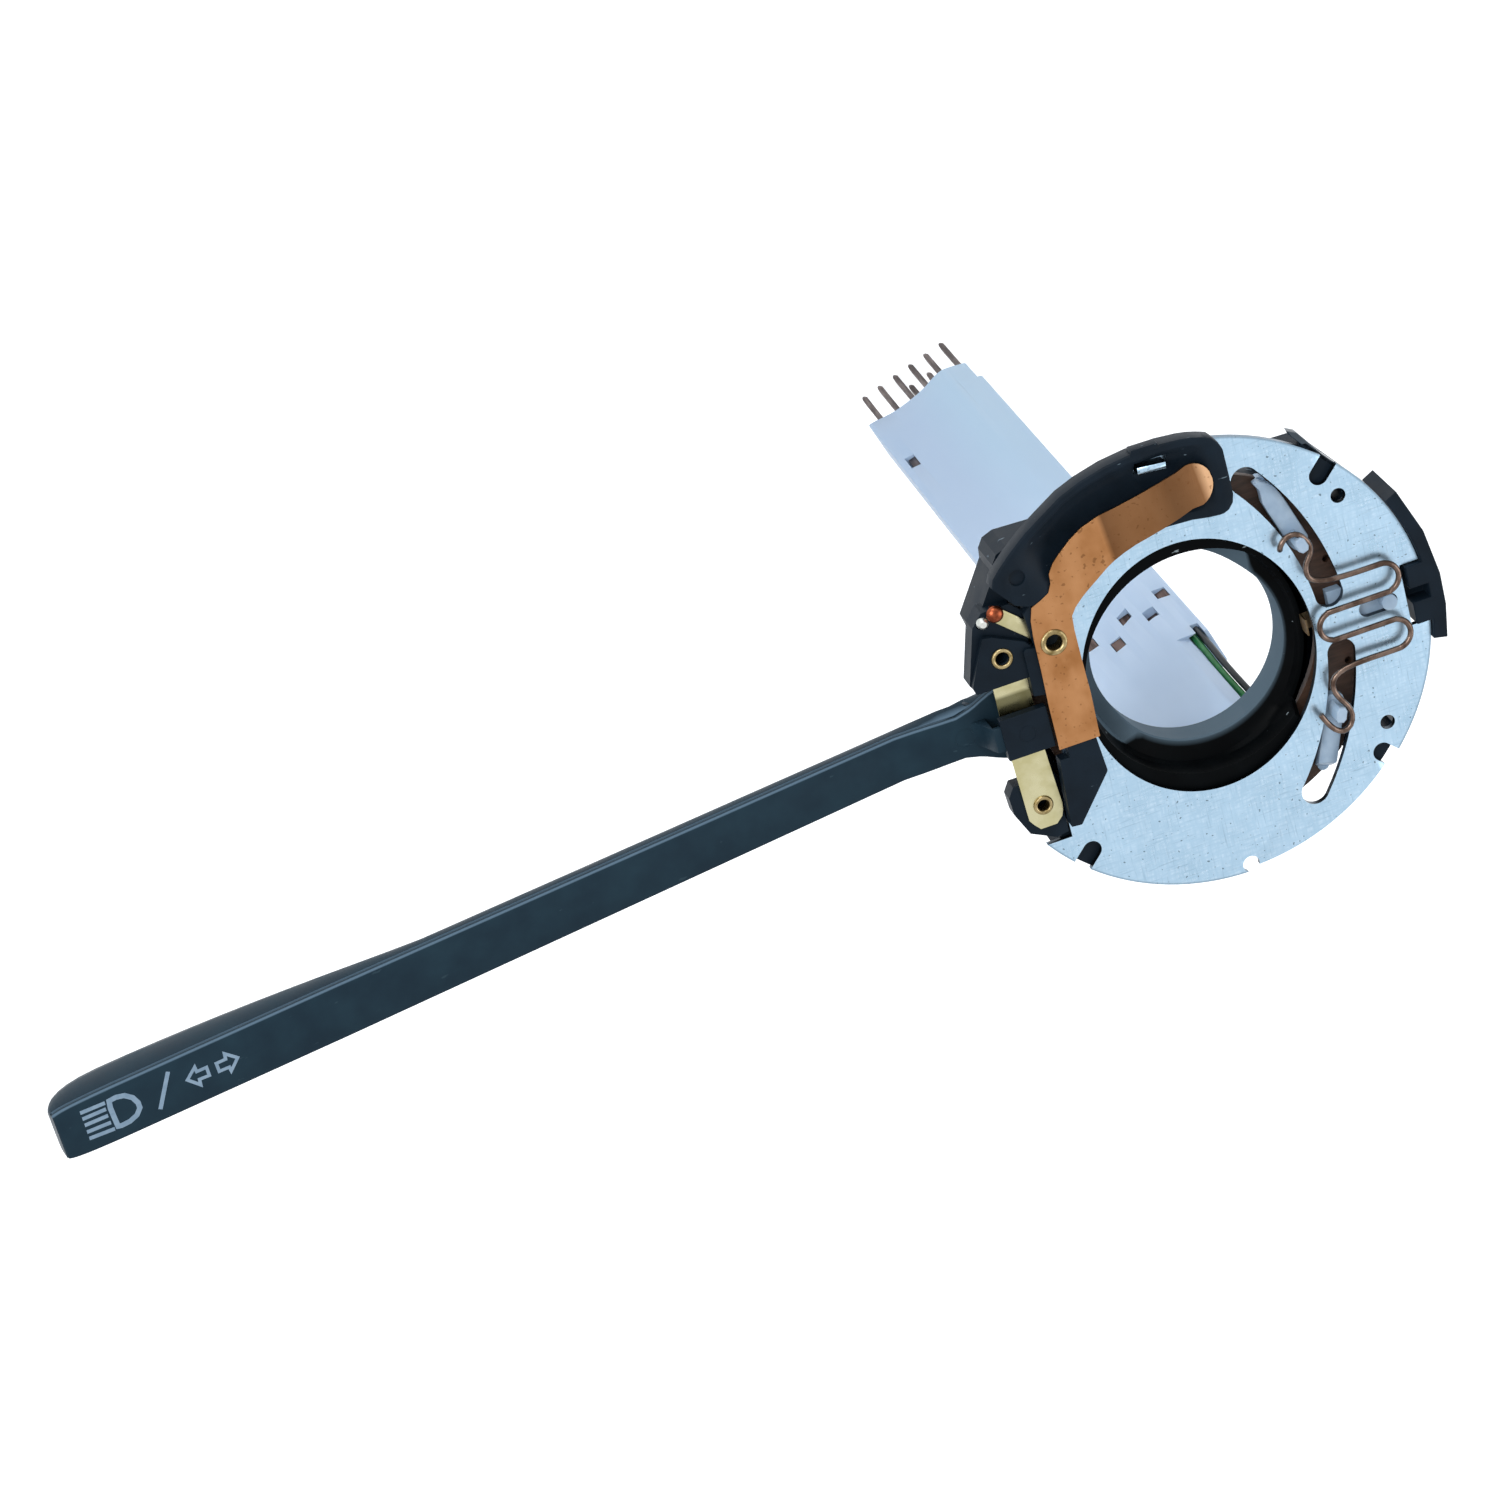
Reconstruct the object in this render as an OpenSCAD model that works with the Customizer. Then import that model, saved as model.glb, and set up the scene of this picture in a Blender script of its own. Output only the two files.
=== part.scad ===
// Indicator stalk switch for a steering column: a slotted steel plate and a moulded housing
// round the column tube, a turn lever on a rotating carrier, a pull-to-flash stalk, horn and
// flash contacts and a long plug with six blades.
// Millimetres. Z runs along the column towards the driver, the stalk points to -X, and the
// origin lies on the column axis in the front face of the plate.

/* [Column sleeve] */
// Diameter of the bore that slips over the column tube
column_bore_d = 35; // [34:0.5:36]
// Inside diameter of the sleeve above its lip
sleeve_bore_d = 42.4; // [41:0.2:42.6]
// Wall of the sleeve
sleeve_wall = 1; // [0.8:0.1:1.1]
// Depth of the sleeve behind the front face of the plate
sleeve_depth = 13.4; // [12.8:0.2:16]
// Length of the lip that touches the column tube
sleeve_lip_l = 3; // [2:0.25:4]

/* [Base plate] */
// Outside diameter of the plate
plate_d = 86; // [85:0.5:89]
// Thickness of the plate
plate_t = 1.2; // [0.8:0.1:1.3]
// Diameter of the large hole in the plate
plate_hole_d = 45.4; // [45:0.2:46]
// Depth of the step in the lower right part of the rim
rim_step = 0.8; // [0.4:0.1:1.2]
// Width of the three open slots in the rim
rim_slot_w = 3.6; // [3:0.2:4]
// Length of the open slots in the rim
rim_slot_l = 5.2; // [4:0.2:5.4]
// Diameter of the two screw holes
screw_hole_d = 2.8; // [2:0.1:3.2]
// Distance of the screw holes from the column axis
screw_r = 38.4; // [37.8:0.1:39]
// Angle of the screw holes from the X axis
screw_angle = 37; // [36:0.5:40]

/* [Turn lever] */
// Distance from the column axis to the turn pivot
pivot_x = 26.4; // [26:0.1:27]
// Distance from the turn pivot to the pawls and their slots
pawl_r = 51.9; // [51.4:0.1:52.4]
// Angle that the lever turns to each side
turn_angle = 11; // [8:0.5:11]
// Width of the two curved slots
pawl_slot_w = 5.3; // [5.1:0.1:5.5]
// Diameter of the turn pivot pin
pivot_pin_d = 3; // [2.4:0.1:3.2]
// Thickness of the carrier
carrier_t = 1.7; // [1.4:0.1:1.8]
// Outside diameter of the arms of the carrier
carrier_d = 69.6; // [68:0.4:70]

/* [Stalk] */
// Distance from the column axis to the pull pin
pull_x = 42; // [41.5:0.1:42.5]
// Diameter of the pull pin
pull_pin_d = 2.6; // [2:0.1:2.8]
// Angle that the stalk is pulled towards the driver
pull_angle = 5; // [3:0.5:5]
// Distance from the column axis to the bend in the stalk
bend_x = 57; // [54:0.5:62]
// Angle of the stalk towards the driver beyond its bend
stalk_lean = 11.2; // [6:0.2:14]
// Length of the stalk beyond its bend
stalk_l = 161.5; // [140:0.5:180]
// Width of the front face of the stalk at its bend
stalk_w = 8.8; // [8:0.1:9]
// Greatest width of the front face of the stalk
grip_w = 10.2; // [9.4:0.1:12]
// Thickness of the slender part of the stalk
stalk_t = 5; // [4.4:0.1:5.2]
// Thickness of the grip near the end of the stalk
grip_t = 10.5; // [8:0.1:12]
// Width across the fork at the root of the stalk
fork_w = 12.6; // [12:0.1:13]

/* [Horn contact] */
// Height of the moulded horn arm above the plate
arm_h = 3.2; // [3:0.1:3.8]
// Height of the rim of the horn arm above the plate
arm_rim_h = 3.6; // [3.4:0.1:4]
// Overhang of the horn arm past the rim of the plate
arm_over = 2.3; // [1.8:0.1:3]
// Thickness of the copper strip
strip_t = 0.4; // [0.3:0.05:0.6]
// Width of the copper strip
strip_w = 7.1; // [6.4:0.1:7.1]
// Rise of the free end of the copper strip
strip_rise = 1; // [0.6:0.1:1.6]

/* [Plug] */
// Angle of the plug round the column
plug_angle = 18; // [14:1:22]
// Distance from the column axis to the flat face of the plug
plug_face = 19.6; // [19.4:0.1:21]
// Thickness of the plug
plug_t = 9.9; // [9.4:0.1:11]
// Distance from the plate to the end of the plug
plug_end = 214; // [150:1:240]
// Distance from the plate to the shoulder where the wires come out
plug_shoulder = 49; // [46:0.5:52]
// Number of blades
blade_count = 6; // [3:1:6]
// Distance between blades
blade_pitch = 4.24; // [3.8:0.02:4.28]
// Length of the blades beyond the plug
blade_out = 20; // [10:0.5:24]
// Diameter of the two leads
lead_d = 1.3; // [1:0.1:1.4]

/* [Spring and contacts] */
// Diameter of the wire of the cancelling spring
spring_wire_d = 1; // [0.8:0.05:1.1]
// Height of the spring wire above the plate
spring_z = 2; // [1.9:0.05:2.1]
// Thickness of the brass leaf
leaf_t = 0.4; // [0.3:0.02:0.45]
// Width of the brass leaf
leaf_w = 6.6; // [6:0.1:6.8]
// Diameter of the bore of the eyelets
eyelet_bore_d = 2.1; // [1.6:0.1:2.2]

/* [Hidden] */
$fn = 96;
e = 0.01;

// Clearances: fixed pieces, running fits and moving faces
seat = 0.02;
run = 0.05;
gap = 0.3;

plate_r = plate_d / 2;
plate_hole_r = plate_hole_d / 2;
sleeve_r = sleeve_bore_d / 2 + sleeve_wall;
column_r = column_bore_d / 2;
arm_r = plate_r + arm_over;

// Levels along Z, from the plate down: pawls, carrier, contacts, board, floor of the housing
under_plate = -plate_t - 0.25;
pawl_t = 2.05;
pawl_floor = under_plate - pawl_t;
carrier_top = pawl_floor - 0.1;
carrier_bottom = carrier_top - carrier_t;
wiper_t = 0.25;
board_top = carrier_bottom - 0.4;
board_t = 1.5;
board_bottom = board_top - board_t;
floor_z = -sleeve_depth;
floor_t = 1.5;

// Housing
housing_in = sleeve_r + run;
housing_r = 34.5;
housing_wall = 1.5;
side_y = 10.6;
side_x = 31.3;
block_top = 1;
lower_top = 0.2;
pad_r = plate_r - 5.3;

// Lever and fork
pull_z = carrier_bottom - 1.3;
stalk_face = -3.8;
root_t = 5.2;
cheek_in = 3.9;
web_t = 1.1;
tongue_w = 7.2;
nose_w = 8.2;
tongue_x = 30.6;
nose_x = 30.2;
nose_l = 8.8;
nose_bottom = 1.05;
nose_top = 3;
neck_top = 1.9;
neck_x = 40.2;
neck_l = 2.4;

// Pawls and slider, as angles round the turn pivot
knob_angle = 19.7;
knob_reach = pawl_r - 0.4;
tail_angle = 33;
tail_r = pawl_r + 1.2;
knob_r = 1.1;
hook_play = 0.62;
slot_start_upper = 6;
slot_start_lower = 7.3;
slot_end = 37.5;
guide_pin_x = plate_r - 7.4;
guide_pin_r = 1.45;
slider_travel = 4;

// Leaf, eyelets and cover
leaf_x = -35.1;
leaf_low_y = -20.2;
leaf_high_y = 12.4;
eyelet_r = eyelet_bore_d / 2;
eyelet_wall = 0.4;
flange_t = 0.25;
leaf_eyelet_at = [-34.7, -15.7];
cover_eyelet_at = [-35.8, 15.8];
horn_eyelet_at = [-26.1, 15.7];
cover_t = 1.4;
rivet_at = [-34.9, 22.7];
silver_at = [-37.7, 22.2];
flash_at = [-35.1, 11.6];

// Detent in the housing below the carrier
detent_at = [28, 0];
ball_r = 1.6;
ball_z = carrier_bottom - run - ball_r;
detent_wire_r = 0.22;

// Plug, in the frame turned by plug_angle
plug_left = -19.3;
plug_right = 7.4;
plug_near_right = 3.6;
blade_w = 1;
blade_h = 1.5;
first_blade = -16.1;
blade_y = -plug_face - 2.3;
blade_root = 60;
window_far = 70.8;
window_near = 64.2;
window_l = 4.5;
window_w = 2.6;

plastic = "#1f2a33";
steel = "#aebfcc";
copper = "#c08048";
brass = "#b8a860";
nylon = "#e6edf2";

// A flat shape raised from one level to another
module slab(low, high) translate([0, 0, low]) linear_extrude(high - low) children();

// A sector of a ring round the origin
module ring_sector(inner, outer, from, to) {
    far = outer * 2;
    mid = (from + to) / 2;
    intersection() {
        difference() {
            circle(outer);
            circle(inner);
        }
        polygon([[0, 0], far * [cos(from), sin(from)], far * [cos(mid), sin(mid)],
            far * [cos(to), sin(to)]]);
    }
}

module at_pivot() translate([-pivot_x, 0, 0]) children();

// A slot with round ends along an arc round the origin
module arc_slot(r, w, from, to) {
    ring_sector(r - w / 2, r + w / 2, from, to);
    for (a = [from, to]) rotate(a) translate([r, 0]) circle(w / 2 + 0.02);
}

// A bar with round ends between two points
module round_bar(a, b, r) {
    d = b - a;
    n = [-d[1], d[0]] / norm(d) * r;
    polygon([a + n, a - n, b - n, b + n]);
    for (p = [a, b]) translate(p) circle(r);
}

function arc_points(c, r, from, to, steps) =
    [for (i = [0 : steps]) let (a = from + (to - from) * i / steps)
        [c[0] + r * cos(a), c[1] + r * sin(a)]];

// Round wire swept along points that lie in any plane
function unit(v) = v / norm(v);
function along(p, i) = unit(p[min(i + 1, len(p) - 1)] - p[max(i - 1, 0)]);
function side_of(t, up) = unit(cross(up, t));
module wire(points, r, up = [0, 0, 1], sides = 8) {
    n = len(points);
    rings = [for (i = [0 : n - 1]) let (t = along(points, i), s = side_of(t, up), u = cross(t, s))
        for (k = [0 : sides - 1]) let (a = 360 * (k + 0.5) / sides)
            points[i] + r * (cos(a) * s + sin(a) * u)];
    sides_faces = [for (i = [0 : n - 2]) for (k = [0 : sides - 1]) let (m = (k + 1) % sides)
        [i * sides + k, i * sides + m, (i + 1) * sides + m, (i + 1) * sides + k]];
    polyhedron([for (p = rings) p], concat([for (f = sides_faces) [f[3], f[2], f[1], f[0]]],
        [[for (k = [0 : sides - 1]) k]], [[for (k = [sides - 1 : -1 : 0]) (n - 1) * sides + k]]));
}

// A rolled eyelet standing in a hole, with its flange on the level given
module eyelet(at, seat_z, depth) translate([at[0], at[1], 0]) color(brass) difference() {
    union() {
        slab(seat_z - depth, seat_z + flange_t) circle(eyelet_r + eyelet_wall);
        slab(seat_z, seat_z + flange_t) circle(eyelet_r + 2.5 * eyelet_wall);
    }
    slab(seat_z - depth - 1, seat_z + 1) circle(eyelet_r);
}

// Zinc-plated plate with its rim slots, pawl slots and the window for the lever
module plate_outline() difference() {
    circle(plate_r);
    ring_sector(plate_r - rim_step, plate_r + 1, -90, -45);
    circle(plate_hole_r);
    for (a = [45, -45, -135]) rotate(a)
        translate([plate_r - rim_slot_l + rim_slot_w / 2 + (a == -45 ? rim_step : 0), 0]) {
            circle(rim_slot_w / 2);
            translate([0, -rim_slot_w / 2]) square([rim_slot_l, rim_slot_w]);
        }
    rotate(-90) translate([plate_r - rim_step - 0.6, 0]) circle(1.6);
    for (s = [1, -1]) rotate(s * screw_angle) translate([screw_r, 0]) circle(screw_hole_d / 2);
    translate([plate_r - 4.1, -6.1]) square([10, 12.2]);
    at_pivot() {
        arc_slot(pawl_r, pawl_slot_w, slot_start_upper, slot_end);
        arc_slot(pawl_r, pawl_slot_w, -slot_end, -slot_start_lower);
        circle(pivot_pin_d / 2 + seat);
    }
    round_bar([guide_pin_x - slider_travel - 0.1, 0], [guide_pin_x + 0.1, 0], guide_pin_r + 0.15);
    polygon([[-60, -24], [-side_x + 0.4, -24], [-side_x + 0.4, -21], [-29.6, -20.4], [-29.6, -8],
        [-28.8, -8], [-28.8, 8], [-29.6, 8], [-28.2, 16], [-27.4, 24.4], [-31.2, 30], [-60, 40]]);
}

tab_at = [-1.6, 41];
tab_turn = -6;
module base_plate() color(steel) {
    slab(-plate_t, 0) plate_outline();
    translate([tab_at[0], tab_at[1], -plate_t / 2]) rotate(tab_turn)
        translate([-2.6, -0.6, 0]) cube([5.2, 1.2, plate_t / 2 + arm_h - 0.4]);
}

// Black sleeve round the column, cut away at the right for the carrier
module column_sleeve() color(plastic) difference() {
    rotate_extrude() polygon([[column_r, -sleeve_depth], [sleeve_r, -sleeve_depth],
        [sleeve_r, -plate_t], [sleeve_bore_d / 2, -plate_t],
        [sleeve_bore_d / 2, -sleeve_depth + sleeve_lip_l + 0.6],
        [sleeve_bore_d / 2 - 0.6, -sleeve_depth + sleeve_lip_l],
        [column_r + 0.4, -sleeve_depth + sleeve_lip_l], [column_r, -sleeve_depth + sleeve_lip_l - 0.4]]);
    translate([16, -30, board_top - 0.1]) cube([20, 60, 20]);
}

block_under = lower_top - 3.4;
upper_block = [[-side_x, side_y], [-41.6, side_y], [-42.2, side_y + 1], [-39.2, 22],
    [-37, 24.4], [-side_x, 24.4]];
upper_top = [[-30, side_y], [-41.6, side_y], [-42.2, side_y + 1], [-39.2, 22], [-37, 24.4],
    [-31.8, 24.4], [-30, 22.6]];
lower_block = [[-side_x, -side_y], [-side_x, -22.6], [-33.6, -23], [-38.2, -20.6],
    [-40.2, -16], [-40.4, -12.5], [-39.2, -side_y]];
side_box = [[-side_x, 15], [-side_x, 24], [-18, 24], [-18, 33.4], [-29.3, 33.9], [-31.4, 33.1],
    [-32.5, 31.4], [-32.7, 29.6], [-38.7, 20.4], [-37.6, 15]];

// Support pad under the rim of the plate, joined to the ring of the housing
module pad(from, to, outer) {
    slab(floor_z, -plate_t - run) ring_sector(pad_r, outer, from, to);
    slab(floor_z, floor_z + 4.6) ring_sector(housing_r - 1, pad_r + 1, from + 1.5, to - 1.5);
}

module leaf_outline(grow = 0) {
    x0 = leaf_x - leaf_w / 2 - grow;
    x1 = leaf_x + leaf_w / 2 + grow;
    c = 1.9;
    polygon([[x0, leaf_low_y + c], [x0 + c, leaf_low_y], [x1 - c, leaf_low_y],
        [x1, leaf_low_y + c], [x1, leaf_high_y + grow], [x0, leaf_high_y + grow]]);
}

// Black moulded housing: floor, wall, pivot boss, pads and the blocks beside the lever
module housing() color(plastic) difference() {
    union() {
        difference() {
            slab(floor_z, board_top - run) circle(housing_r);
            slab(floor_z + floor_t, 0) circle(housing_r - housing_wall);
            translate([-60, -side_y + 0.2, pull_z - 3.4]) cube([60 - pivot_x - 3.5, 2 * side_y - 0.4, 20]);
        }
        slab(floor_z, board_bottom - run) difference() {
            circle(housing_r - housing_wall + e);
            circle(housing_r - housing_wall - 1.2);
            translate([-60, -side_y]) square([60 - pivot_x, 2 * side_y]);
        }
        at_pivot() slab(floor_z, carrier_bottom - 0.1) circle(3.4);
        translate([detent_at[0], detent_at[1], 0]) slab(floor_z, board_bottom - run) circle(2.9);
        slab(floor_z + 5.4, -plate_t - run) polygon([[21.7, 34.4], [27.3, 34.2], [35.2, 24],
            [36.3, 20.4], [33, 18.4], [28.2, 20.8], [21.4, 30.5]]);
        slab(floor_z, floor_z + 5.6) ring_sector(housing_r - 1, 37.6, 34, 56);
        pad(-51, -37, plate_r - rim_step - 0.4);
        pad(-144, -128, plate_r - 0.4);
        slab(under_plate - e, block_top) polygon(upper_top);
        difference() {
            union() {
                slab(block_under, under_plate) polygon(upper_block);
                slab(block_under, lower_top) polygon(lower_block);
                slab(floor_z, block_under + e) intersection() {
                    circle(housing_r);
                    union() {
                        polygon(upper_block);
                        polygon(lower_block);
                    }
                }
            }
            slab(board_bottom - run, carrier_top) circle(housing_r - housing_wall);
        }
        difference() {
            slab(floor_z + 3, -plate_t - run) polygon(side_box);
            slab(board_bottom, 5) circle(housing_r + 1.5);
        }
        slab(floor_z, floor_z + floor_t) {
            ring_sector(housing_r - 1, plate_r - 3, 146, 165);
            ring_sector(housing_r - 1, plate_r - 5, -165, -130);
        }
    }
    slab(floor_z - 1, 30) circle(housing_in);
    at_pivot() slab(floor_z + 0.8, 10) circle(pivot_pin_d / 2 + seat);
    translate([detent_at[0], detent_at[1], 0]) slab(floor_z + floor_t, 0) circle(ball_r + run);
    for (s = [1, -1]) rotate(s * screw_angle) translate([screw_r, 0])
        slab(floor_z - 1, 10) circle(screw_hole_d / 2 + 0.05);
    slab(lower_top - 1.2, block_top + 1) intersection() {
        leaf_outline(0.5);
        translate([-60, side_y - 1]) square([60, 20]);
    }
    slab(-2.4, 10) for (p = [leaf_eyelet_at, cover_eyelet_at]) translate(p)
        circle(eyelet_r + eyelet_wall + seat);
    translate([rivet_at[0], rivet_at[1], 0]) slab(-0.7, 10) circle(0.9 + seat);
    translate([silver_at[0], silver_at[1], 0]) slab(0.2, 10) circle(0.7 + seat);
    translate([flash_at[0], flash_at[1], 0]) slab(-3, 10) circle(0.9 + seat);
}

// Laminated board that carries the fixed contacts, open at the left for the lever
stud_angles = [-64, -40, 40, 64, 112, -112];
stud_at_r = (housing_in + housing_r - housing_wall) / 2 + 0.375;
module contact_board() color("#3c2a20") slab(board_bottom, board_top) difference() {
    circle(housing_r - housing_wall - run);
    circle(housing_in + 0.8);
    translate([-60, -14]) square([60 - pivot_x + 6, 28]);
    translate(detent_at) circle(ball_r + 0.2);
    for (a = stud_angles) rotate(a) translate([stud_at_r, 0]) circle(1.1 + seat);
}

module board_studs() color(brass) for (a = stud_angles) rotate(a) translate([stud_at_r, 0, 0]) {
    slab(board_bottom - 0.8, board_top + 0.08) circle(1.1);
    slab(board_bottom - 0.8, board_bottom - seat) circle(1.9);
}

// Curved shoe outside the rim of the plate, with lugs through the notch in the rim
shoe_in = plate_r + 0.15;
shoe_out = plate_r + 2.8;
shoe_angles = [26.8, 14.6, 3.2, -4.6, -12.8];
module shoe_outline() difference() {
    polygon(concat([[0, 0]], [for (a = shoe_angles) shoe_out * [cos(a), sin(a)]]));
    circle(shoe_in);
}

module guide_shoe() color(plastic) {
    slab(-11, 1.2) shoe_outline();
    slab(-5.4, 1.2) for (y = [-5.8, 1.4]) translate([plate_r - 3.4, y]) square([4, 4.4]);
    slab(-5.4, -2.6) translate([plate_r - 3.4, -5.8]) square([4, 11.6]);
    slab(-11, -8.4) translate([housing_r + 0.02, -4]) square([shoe_in - housing_r + 1, 8]);
}

// Moulded arm that insulates the horn strip, with a channel under the strip
arm_in = 30.9;
arm_end_x = 11.6;
eyelet_block = [[-29.4, 11], [-22.9, 11], [-22.9, 19.4], [-19, 24.4], [-25, 33],
    [-28.3, 25], [-29.4, 19]];
module arm_outline() difference() {
    union() {
        ring_sector(arm_in, arm_r, 96, 128);
        ring_sector(arm_in, arm_r - 1.1, 66, 98);
        rotate(92) translate([arm_r - 3, -3]) square([3, 6]);
        polygon([[-18, 26], [-27, 36.4], [-34.4, 29.5], [-34.6, 27.9], [-28.9, 22.2]]);
        polygon([[0.5, 28.6], [arm_end_x - 1.4, 28.6], [arm_end_x, 30], [arm_end_x, 33], [0.5, 33]]);
    }
    translate([arm_end_x, 0]) square([20, 60]);
    translate([arm_end_x, arm_r - 4]) rotate(45) square([2.4, 20], center = true);
}

module horn_arm() color(plastic) difference() {
    union() {
        slab(0, arm_rim_h) arm_outline();
        slab(0, arm_h - 0.02) polygon(eyelet_block);
    }
    slab(0.8, 20) intersection() {
        ring_sector(arm_in + 1, arm_r - 2.3, 60, 121);
        translate([-60, 0]) square([68.4, 60]);
    }
    slab(arm_h - 0.02, 20) circle(arm_r - 2.3);
    translate([-29.5, 29.5, 0]) slab(arm_h - 1, 20) circle(1.6);
    translate([tab_at[0], tab_at[1], -1]) rotate(tab_turn) translate([-3.1, -1.2, 0]) cube([6.2, 2.4, 20]);
    translate([horn_eyelet_at[0], horn_eyelet_at[1], 0]) slab(-1, 10)
        circle(eyelet_r + eyelet_wall + seat);
}

// Copper strip: a straight leg, a waist at the notch and a sprung arm with a round end
strip_leg_x = -pivot_x - 3.5;
module strip_outline() difference() {
    union() {
        polygon([[strip_leg_x, -4.8], [strip_leg_x, 17.6], [-29.2, 21.4], [-28.2, 23.9],
            [-25.6, 24.2], [-24.6, 26], [-24.6, 28], [-23.4, 29.8], [-19.2, 33.6], [-13.3, 36.4],
            [-4, 38.2], [3.4, 39.2], [4.2, 31.4], [-6.9, 29.3], [-12.1, 27.3], [-18.5, 23.6],
            [-21.6, 19.8], [strip_leg_x + strip_w, 15], [strip_leg_x + strip_w, -4.8]]);
        translate([4, 35.3]) circle(4);
    }
    translate([-26.9, 26.2]) circle(2.1);
    translate(horn_eyelet_at) circle(eyelet_r + eyelet_wall + seat);
}

// Side view of the strip: level over the block, then rising, with its tip turned down
bend_from = 32;
bend_to = 43;
strip_tip = 4.5;
strip_reach = 60;
module horn_strip() color(copper) intersection() {
    slab(arm_h - 1, arm_h + 8) strip_outline();
    rotate([0, 0, 38]) translate([-40, 60, arm_h]) rotate([90, 0, 0]) linear_extrude(120)
        polygon([[-20, 0], [bend_from + 8, 0], [bend_to + 12, strip_rise],
            [strip_reach + 4, strip_rise], [strip_reach + 24, strip_rise - strip_tip],
            [strip_reach + 24, strip_rise - strip_tip + strip_t * 1.03],
            [strip_reach + 4, strip_rise + strip_t],
            [bend_to + 12, strip_rise + strip_t], [bend_from + 8, strip_t], [-20, strip_t]]);
}

module horn_eyelet() eyelet(horn_eyelet_at, arm_h + strip_t + seat, arm_h + strip_t);

// Small block at the lower end of the copper strip
module end_block() color(plastic) slab(0, arm_h - gap) polygon([[-28.3, -3.4], [-22.9, -3.6],
    [-22.2, -12.2], [-29.2, -20.9], [-31.1, -20.7], [-30.2, -7.2], [-28.3, -7.2]]);

// Cover over the upper end of the leaf
module leaf_cover() color(plastic) slab(block_top, block_top + cover_t) difference() {
    polygon([[-42, side_y + 1], [-41.6, side_y - 0.4], [-31.2, side_y - 0.4], [-30, 12],
        [-30, 16], [-30.8, 17], [-36.4, 19.9], [-38.2, 20.2]]);
    translate(cover_eyelet_at) circle(eyelet_r + eyelet_wall + seat);
}

module cover_eyelet() eyelet(cover_eyelet_at, block_top + cover_t + seat, cover_t + 2.4);

// Brass leaf that the lever nose presses to flash
module leaf_spring() color(brass) slab(lower_top, lower_top + leaf_t) difference() {
    leaf_outline();
    translate(leaf_eyelet_at) circle(eyelet_r + eyelet_wall + seat);
}

module leaf_eyelet() eyelet(leaf_eyelet_at, lower_top + leaf_t + seat, 2.2);

module flash_stud() color(brass) translate([flash_at[0], flash_at[1], 0])
    slab(-2.8, lower_top - 0.6) circle(0.9);

// Fixed contact beside the horn arm
bar_from = [-34.6, 22.6];
bar_to = [-31.2, 19.6];
module contact_bar() color(brass) slab(block_top, block_top + 0.5) difference() {
    round_bar(bar_from, bar_to, 1.15);
    translate(rivet_at) circle(0.9 + seat);
    translate(silver_at) circle(1.6);
}

module contact_rivet() color("#8a4a30") translate([rivet_at[0], rivet_at[1], 0]) {
    slab(-0.6, block_top + 0.6) circle(0.9);
    slab(block_top + 0.5 + seat, block_top + 1.3) circle(1.55);
}

module silver_contact() color("#d9dcd8") translate([silver_at[0], silver_at[1], 0]) {
    slab(0.3, block_top + 0.9) circle(0.7);
    slab(block_top + seat, block_top + 0.9) circle(1.1);
}

// Riveted pin on which the carrier turns
module turn_pivot_pin() color(steel) at_pivot() {
    slab(floor_z + 0.9, 0.7) circle(pivot_pin_d / 2);
    slab(seat, 0.7) circle(pivot_pin_d / 2 + 0.8);
}

// The sleeve as the turning carrier sees it, over the whole turn
module sleeve_sweep(r) {
    for (a = [-turn_angle - 0.5, 0, turn_angle + 0.5])
        translate([-pivot_x + pivot_x * cos(a), pivot_x * sin(a)]) circle(r);
    half = pivot_x * sin(turn_angle + 0.5);
    off = -pivot_x + pivot_x * cos(turn_angle + 0.5);
    translate([off - r, -half]) square([2 * r, 2 * half]);
}

// Laminated carrier: hub, two arms round the sleeve and the web that bears the pawls
carrier_back_r = 31;
module carrier_outline() difference() {
    union() {
        intersection() {
            circle(carrier_d / 2);
            at_pivot() circle(pawl_r + 3.6);
            translate([-2, -60]) square([60, 120]);
        }
        circle(carrier_back_r);
        translate([-36, -tongue_w / 2]) square([10, tongue_w]);
    }
    sleeve_sweep(sleeve_r + 0.4);
    at_pivot() {
        circle(pivot_pin_d / 2 + run);
        for (s = [1, -1]) rotate(s * tail_angle) translate([tail_r, 0]) circle(1.1 + run);
    }
    for (a = [-turn_angle, 0, turn_angle]) at_pivot() rotate(a)
        translate([pivot_x + detent_at[0], detent_at[1]]) circle(0.7);
}

module carrier() color("#4a3326") slab(carrier_bottom, carrier_top) carrier_outline();

// Brass wiper under the carrier, with a tab that shows inside the column hole
tab_x = sleeve_r - 1.8;
module wiper_contact() color(brass) {
    slab(carrier_bottom - 0.02 - wiper_t, carrier_bottom - 0.02) {
        ring_sector(sleeve_r + 0.9, sleeve_r + 3.4, -17, 17);
        translate([tab_x, -2.5]) square([4, 3.2]);
    }
    slab(carrier_bottom - 0.02 - wiper_t, carrier_top + 1.2) translate([tab_x, -2.5])
        square([0.3, 3.2]);
}

// Bracket under the hub of the carrier, with the tongue that holds the pull pin
tongue_top = stalk_face - web_t - 0.75;
module lever_bracket() color(plastic) difference() {
    union() {
        slab(pull_z - 2, carrier_bottom - seat) translate([-36, -tongue_w / 2])
            square([36 - tongue_x, tongue_w]);
        slab(pull_z - 2, tongue_top) translate([-pull_x - 3.2, -tongue_w / 2])
            square([pull_x + 3.2 - tongue_x, tongue_w]);
    }
    pin_bore(pull_pin_d / 2 + seat);
}

module pin_bore(r) translate([-pull_x, 10, pull_z]) rotate([90, 0, 0]) cylinder(h = 20, r = r);

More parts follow.
